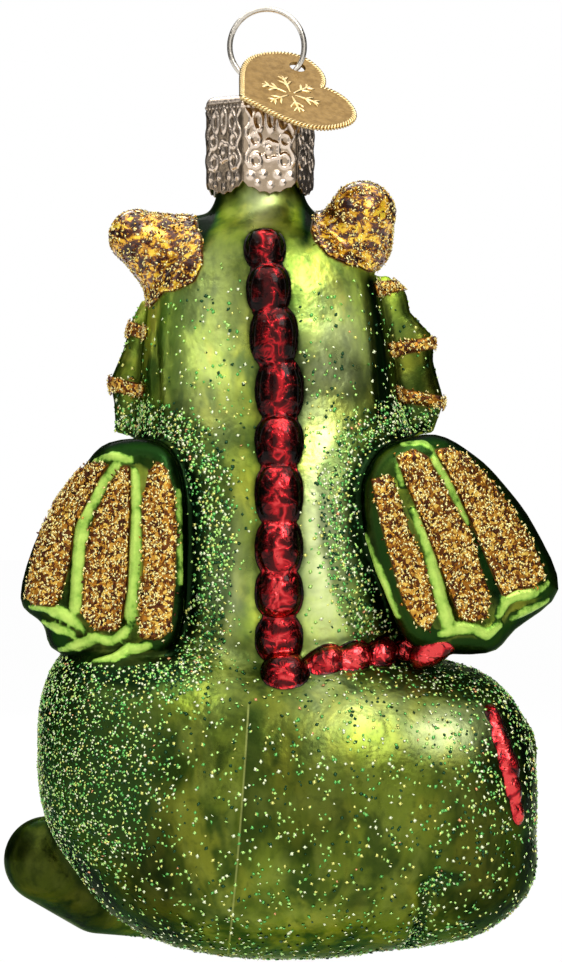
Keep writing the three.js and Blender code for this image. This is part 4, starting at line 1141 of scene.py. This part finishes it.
# Spring clip: one bent wire of spring steel. Its eye stands over the cap, and its legs go
# through the cap's slot and press outward in the glass neck.
def bent_wire(name, points, radius, closed=False):
    line = bpy.data.curves.new(name, "CURVE")
    line.dimensions = "3D"
    strand = line.splines.new("NURBS")
    strand.points.add(len(points) - 1)
    for knot, place in zip(strand.points, points):
        knot.co = (*(Vector(place) * MM), 1)
    strand.order_u = 3
    strand.use_endpoint_u = not closed
    strand.use_cyclic_u = closed
    strand.resolution_u = 8
    line.bevel_depth = radius * MM
    line.bevel_resolution = 3
    line.use_fill_caps = True
    wire = bpy.data.objects.new(name, line)
    bpy.context.collection.objects.link(wire)
    alone(wire)
    bpy.ops.object.convert(target="MESH")
    wire.data.shade_smooth()
    return wire


def wire_finish(name, colour, rough):
    drawn, scratches = tuple(c * 0.72 for c in colour), (2600, 2, 0.5, 0.5)
    wire = plain_metal(name, scratches, (drawn, colour), scratches, (rough * 1.6, rough * 0.7))
    wire.show("Normal", wire.bump(wire.cloud(*scratches), 0.03))
    return wire


RING_Z, RING_R, RING_WIRE = -3.98, 4.305, 0.65
EYE_Z = RING_Z - RING_R + RING_WIRE / 2 + 0.3 - 1.35 + 0.4
front_half = [(0, EYE_Z + 1.55), (0.75, EYE_Z + 1.3), (1.3, EYE_Z + 0.62), (1.42, EYE_Z - 0.1),
              (1.15, EYE_Z - 0.85), (0.82, EYE_Z - 1.35), (0.85, -10.2), (1.3, -12.2), (2.4, -14.6),
              (3.2, -18.2), (3.1, -19.2)]
clip_points = [(NECK_X, -y, z) for y, z in front_half[:0:-1]] + [(NECK_X, y, z) for y, z in front_half]
clip = bent_wire("sprung_wire_clip", clip_points, 0.4)
wire_finish("spring_wire", (0.72, 0.70, 0.66), 0.25).on(clip)
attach(clip, "cap")
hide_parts("spring_clip")

# Hanging ring: a closed ring of bright drawn wire. It is threaded through the clip's eye and
# the tag's hole, and the ornament hangs by it.
ring = add_hoop("wire_ring", RING_R, RING_WIRE, (0, 0, RING_Z), 128, (math.pi / 2, 0, 0))
wire_finish("drawn_ring_wire", (0.80, 0.74, 0.64), 0.14).on(ring)
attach(ring, "ring")
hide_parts("hanging_ring")

# Heart tag: stamped from brass sheet with a roped edge and a raised snowflake, one hole
# near a lobe for the ring.
TAG_HOLE = (10.85, 4.13)
tag_normal = Vector((0.26, -0.585, 0.768)).normalized()
flat_way = Vector((0, 0, 1)).cross(tag_normal).normalized()
rise_way = tag_normal.cross(flat_way)
tag_turn = math.radians(13.1)
tag_axis = flat_way * math.cos(tag_turn) + rise_way * math.sin(tag_turn)
tag_across = tag_normal.cross(tag_axis)
hang = math.radians(-35.9)
tag_hole_place = Vector((RING_R * math.cos(hang), 0, RING_Z + RING_R * math.sin(hang)))


def on_tag(u, v, height):
    """A point of the tag's plate in millimetres: along its length, across it and off its face."""
    return (tag_hole_place + tag_axis * (u - TAG_HOLE[0]) + tag_across * (v - TAG_HOLE[1])
            + tag_normal * height)


def heart(inset, steps=14):
    w, tip, notch, top = 7.7 - inset, inset * 1.4, 11.75 - inset * 0.6, 13.65 - inset
    lobe_start = 11.75 * 0.72
    half = [((tip, 0), (tip + 2.2, w * 0.45), (tip + 3.6, w), (lobe_start, w)),
            ((lobe_start, w), (top - 1, w), (top, w * 0.75), (top, w * 0.46)),
            ((top, w * 0.46), (top, w * 0.2), (notch + 0.6, w * 0.05), (notch, 0))]
    points = []
    for a, b, c, d in half:
        for i in range(steps):
            t = i / steps
            k = ((1 - t) ** 3, 3 * t * (1 - t) ** 2, 3 * t * t * (1 - t), t ** 3)
            points.append(tuple(sum(q * p[n] for q, p in zip(k, (a, b, c, d))) for n in (0, 1)))
    points.append((notch, 0.0))
    return points + [(u, -v) for u, v in reversed(points[1:-1])]


def join_into(name, parts):
    alone(parts[0])
    for part in parts:
        part.select_set(True)
    bpy.ops.object.join()
    parts[0].name = name
    return parts[0]


outline = bpy.data.curves.new("tag_plate", "CURVE")
outline.dimensions = "2D"
outline.fill_mode = "BOTH"
outline.extrude = 0.2 * MM
outline.bevel_depth = 0.04 * MM
hole = [(TAG_HOLE[0] + math.cos(a), TAG_HOLE[1] + math.sin(a))
        for a in np.linspace(0, 2 * math.pi, 40, endpoint=False)]
for points in (heart(0.4, 24), hole):
    loop = outline.splines.new("POLY")
    loop.points.add(len(points) - 1)
    for knot, (u, v) in zip(loop.points, points):
        knot.co = (u * MM, v * MM, 0, 1)
    loop.use_cyclic_u = True
plate = bpy.data.objects.new("stamped_heart_plate", outline)
bpy.context.collection.objects.link(plate)
alone(plate)
bpy.ops.object.convert(target="MESH")
tag_frame = Matrix((tag_axis, tag_across, tag_normal)).transposed()
plate.data.transform(Matrix.Translation(on_tag(0, 0, 0) * MM) @ tag_frame.to_4x4())

edge = np.array(heart(0.42, 40))
lengths = np.concatenate([[0], np.cumsum(np.linalg.norm(np.roll(edge, -1, 0) - edge, axis=1))])
closed = np.concatenate([edge, edge[:1]])
beads_on_edge = 104
rope = []
for i in range(beads_on_edge):
    at = lengths[-1] * (i + 0.5) / beads_on_edge
    u, v = (float(np.interp(at, lengths, closed[:, n])) for n in (0, 1))
    next_at = (at + 0.1) % lengths[-1]
    du, dv = (float(np.interp(next_at, lengths, closed[:, n])) - c for n, c in ((0, u), (1, v)))
    if math.hypot(u - TAG_HOLE[0], v - TAG_HOLE[1]) < 1.5:
        continue
    slant = math.atan2(dv, du) + math.radians(48)
    bpy.ops.mesh.primitive_ico_sphere_add(subdivisions=2, radius=MM)
    bead = bpy.context.object
    local = Matrix.Rotation(slant, 3, "Z") @ Matrix.Diagonal((0.52, 0.19, 0.33))
    bead.data.transform(Matrix.Translation(on_tag(u, v, 0) * MM) @ (tag_frame @ local).to_4x4())
    rope.append(bead)
rope_rim = join_into("tag_roped_edge", rope)
rope_rim.data.shade_smooth()

arms = []
for side in (1, -1):
    for k in range(6):
        way = math.radians(60 * k + 15)
        for stroke_ends in [((0.5, 0), (3.5, 0)), ((1.7, 0), (2.5, 0.75)), ((1.7, 0), (2.5, -0.75)),
                            ((2.7, 0), (3.3, 0.55)), ((2.7, 0), (3.3, -0.55))]:
            spots = []
            for a, b in stroke_ends:
                u = 6.9 + a * math.cos(way) - b * math.sin(way)
                v = -0.7 + a * math.sin(way) + b * math.cos(way)
                spots.append(on_tag(u, v, side * 0.2))
            bpy.ops.mesh.primitive_uv_sphere_add(segments=12, ring_count=8, radius=MM)
            stroke = bpy.context.object
            span = spots[1] - spots[0]
            ways = span.normalized(), tag_normal.cross(span).normalized(), tag_normal
            local = Matrix(ways).transposed() @ Matrix.Diagonal((span.length / 2 + 0.2, 0.2, 0.2))
            middle = Matrix.Translation((spots[0] + spots[1]) / 2 * MM)
            stroke.data.transform(middle @ local.to_4x4())
            arms.append(stroke)
snowflake = join_into("tag_snowflake", arms)
snowflake.data.shade_smooth()

brass = plain_metal("satin_stamped_brass", (1400, 3), ((0.20, 0.115, 0.030), (0.29, 0.175, 0.052)), (500, 3),
                    (0.28, 0.42))
brass.show("Normal", brass.bump(brass.cloud(5200, 2), 0.035))
burnished = plain_metal("burnished_brass", (1400, 3), ((0.66, 0.46, 0.19), (0.84, 0.66, 0.34)), (900, 3),
                        (0.14, 0.28))
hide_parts("heart_tag")
for piece, metal in ((plate, brass), (rope_rim, burnished), (snowflake, burnished)):
    metal.on(piece)
    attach(piece, "tag")
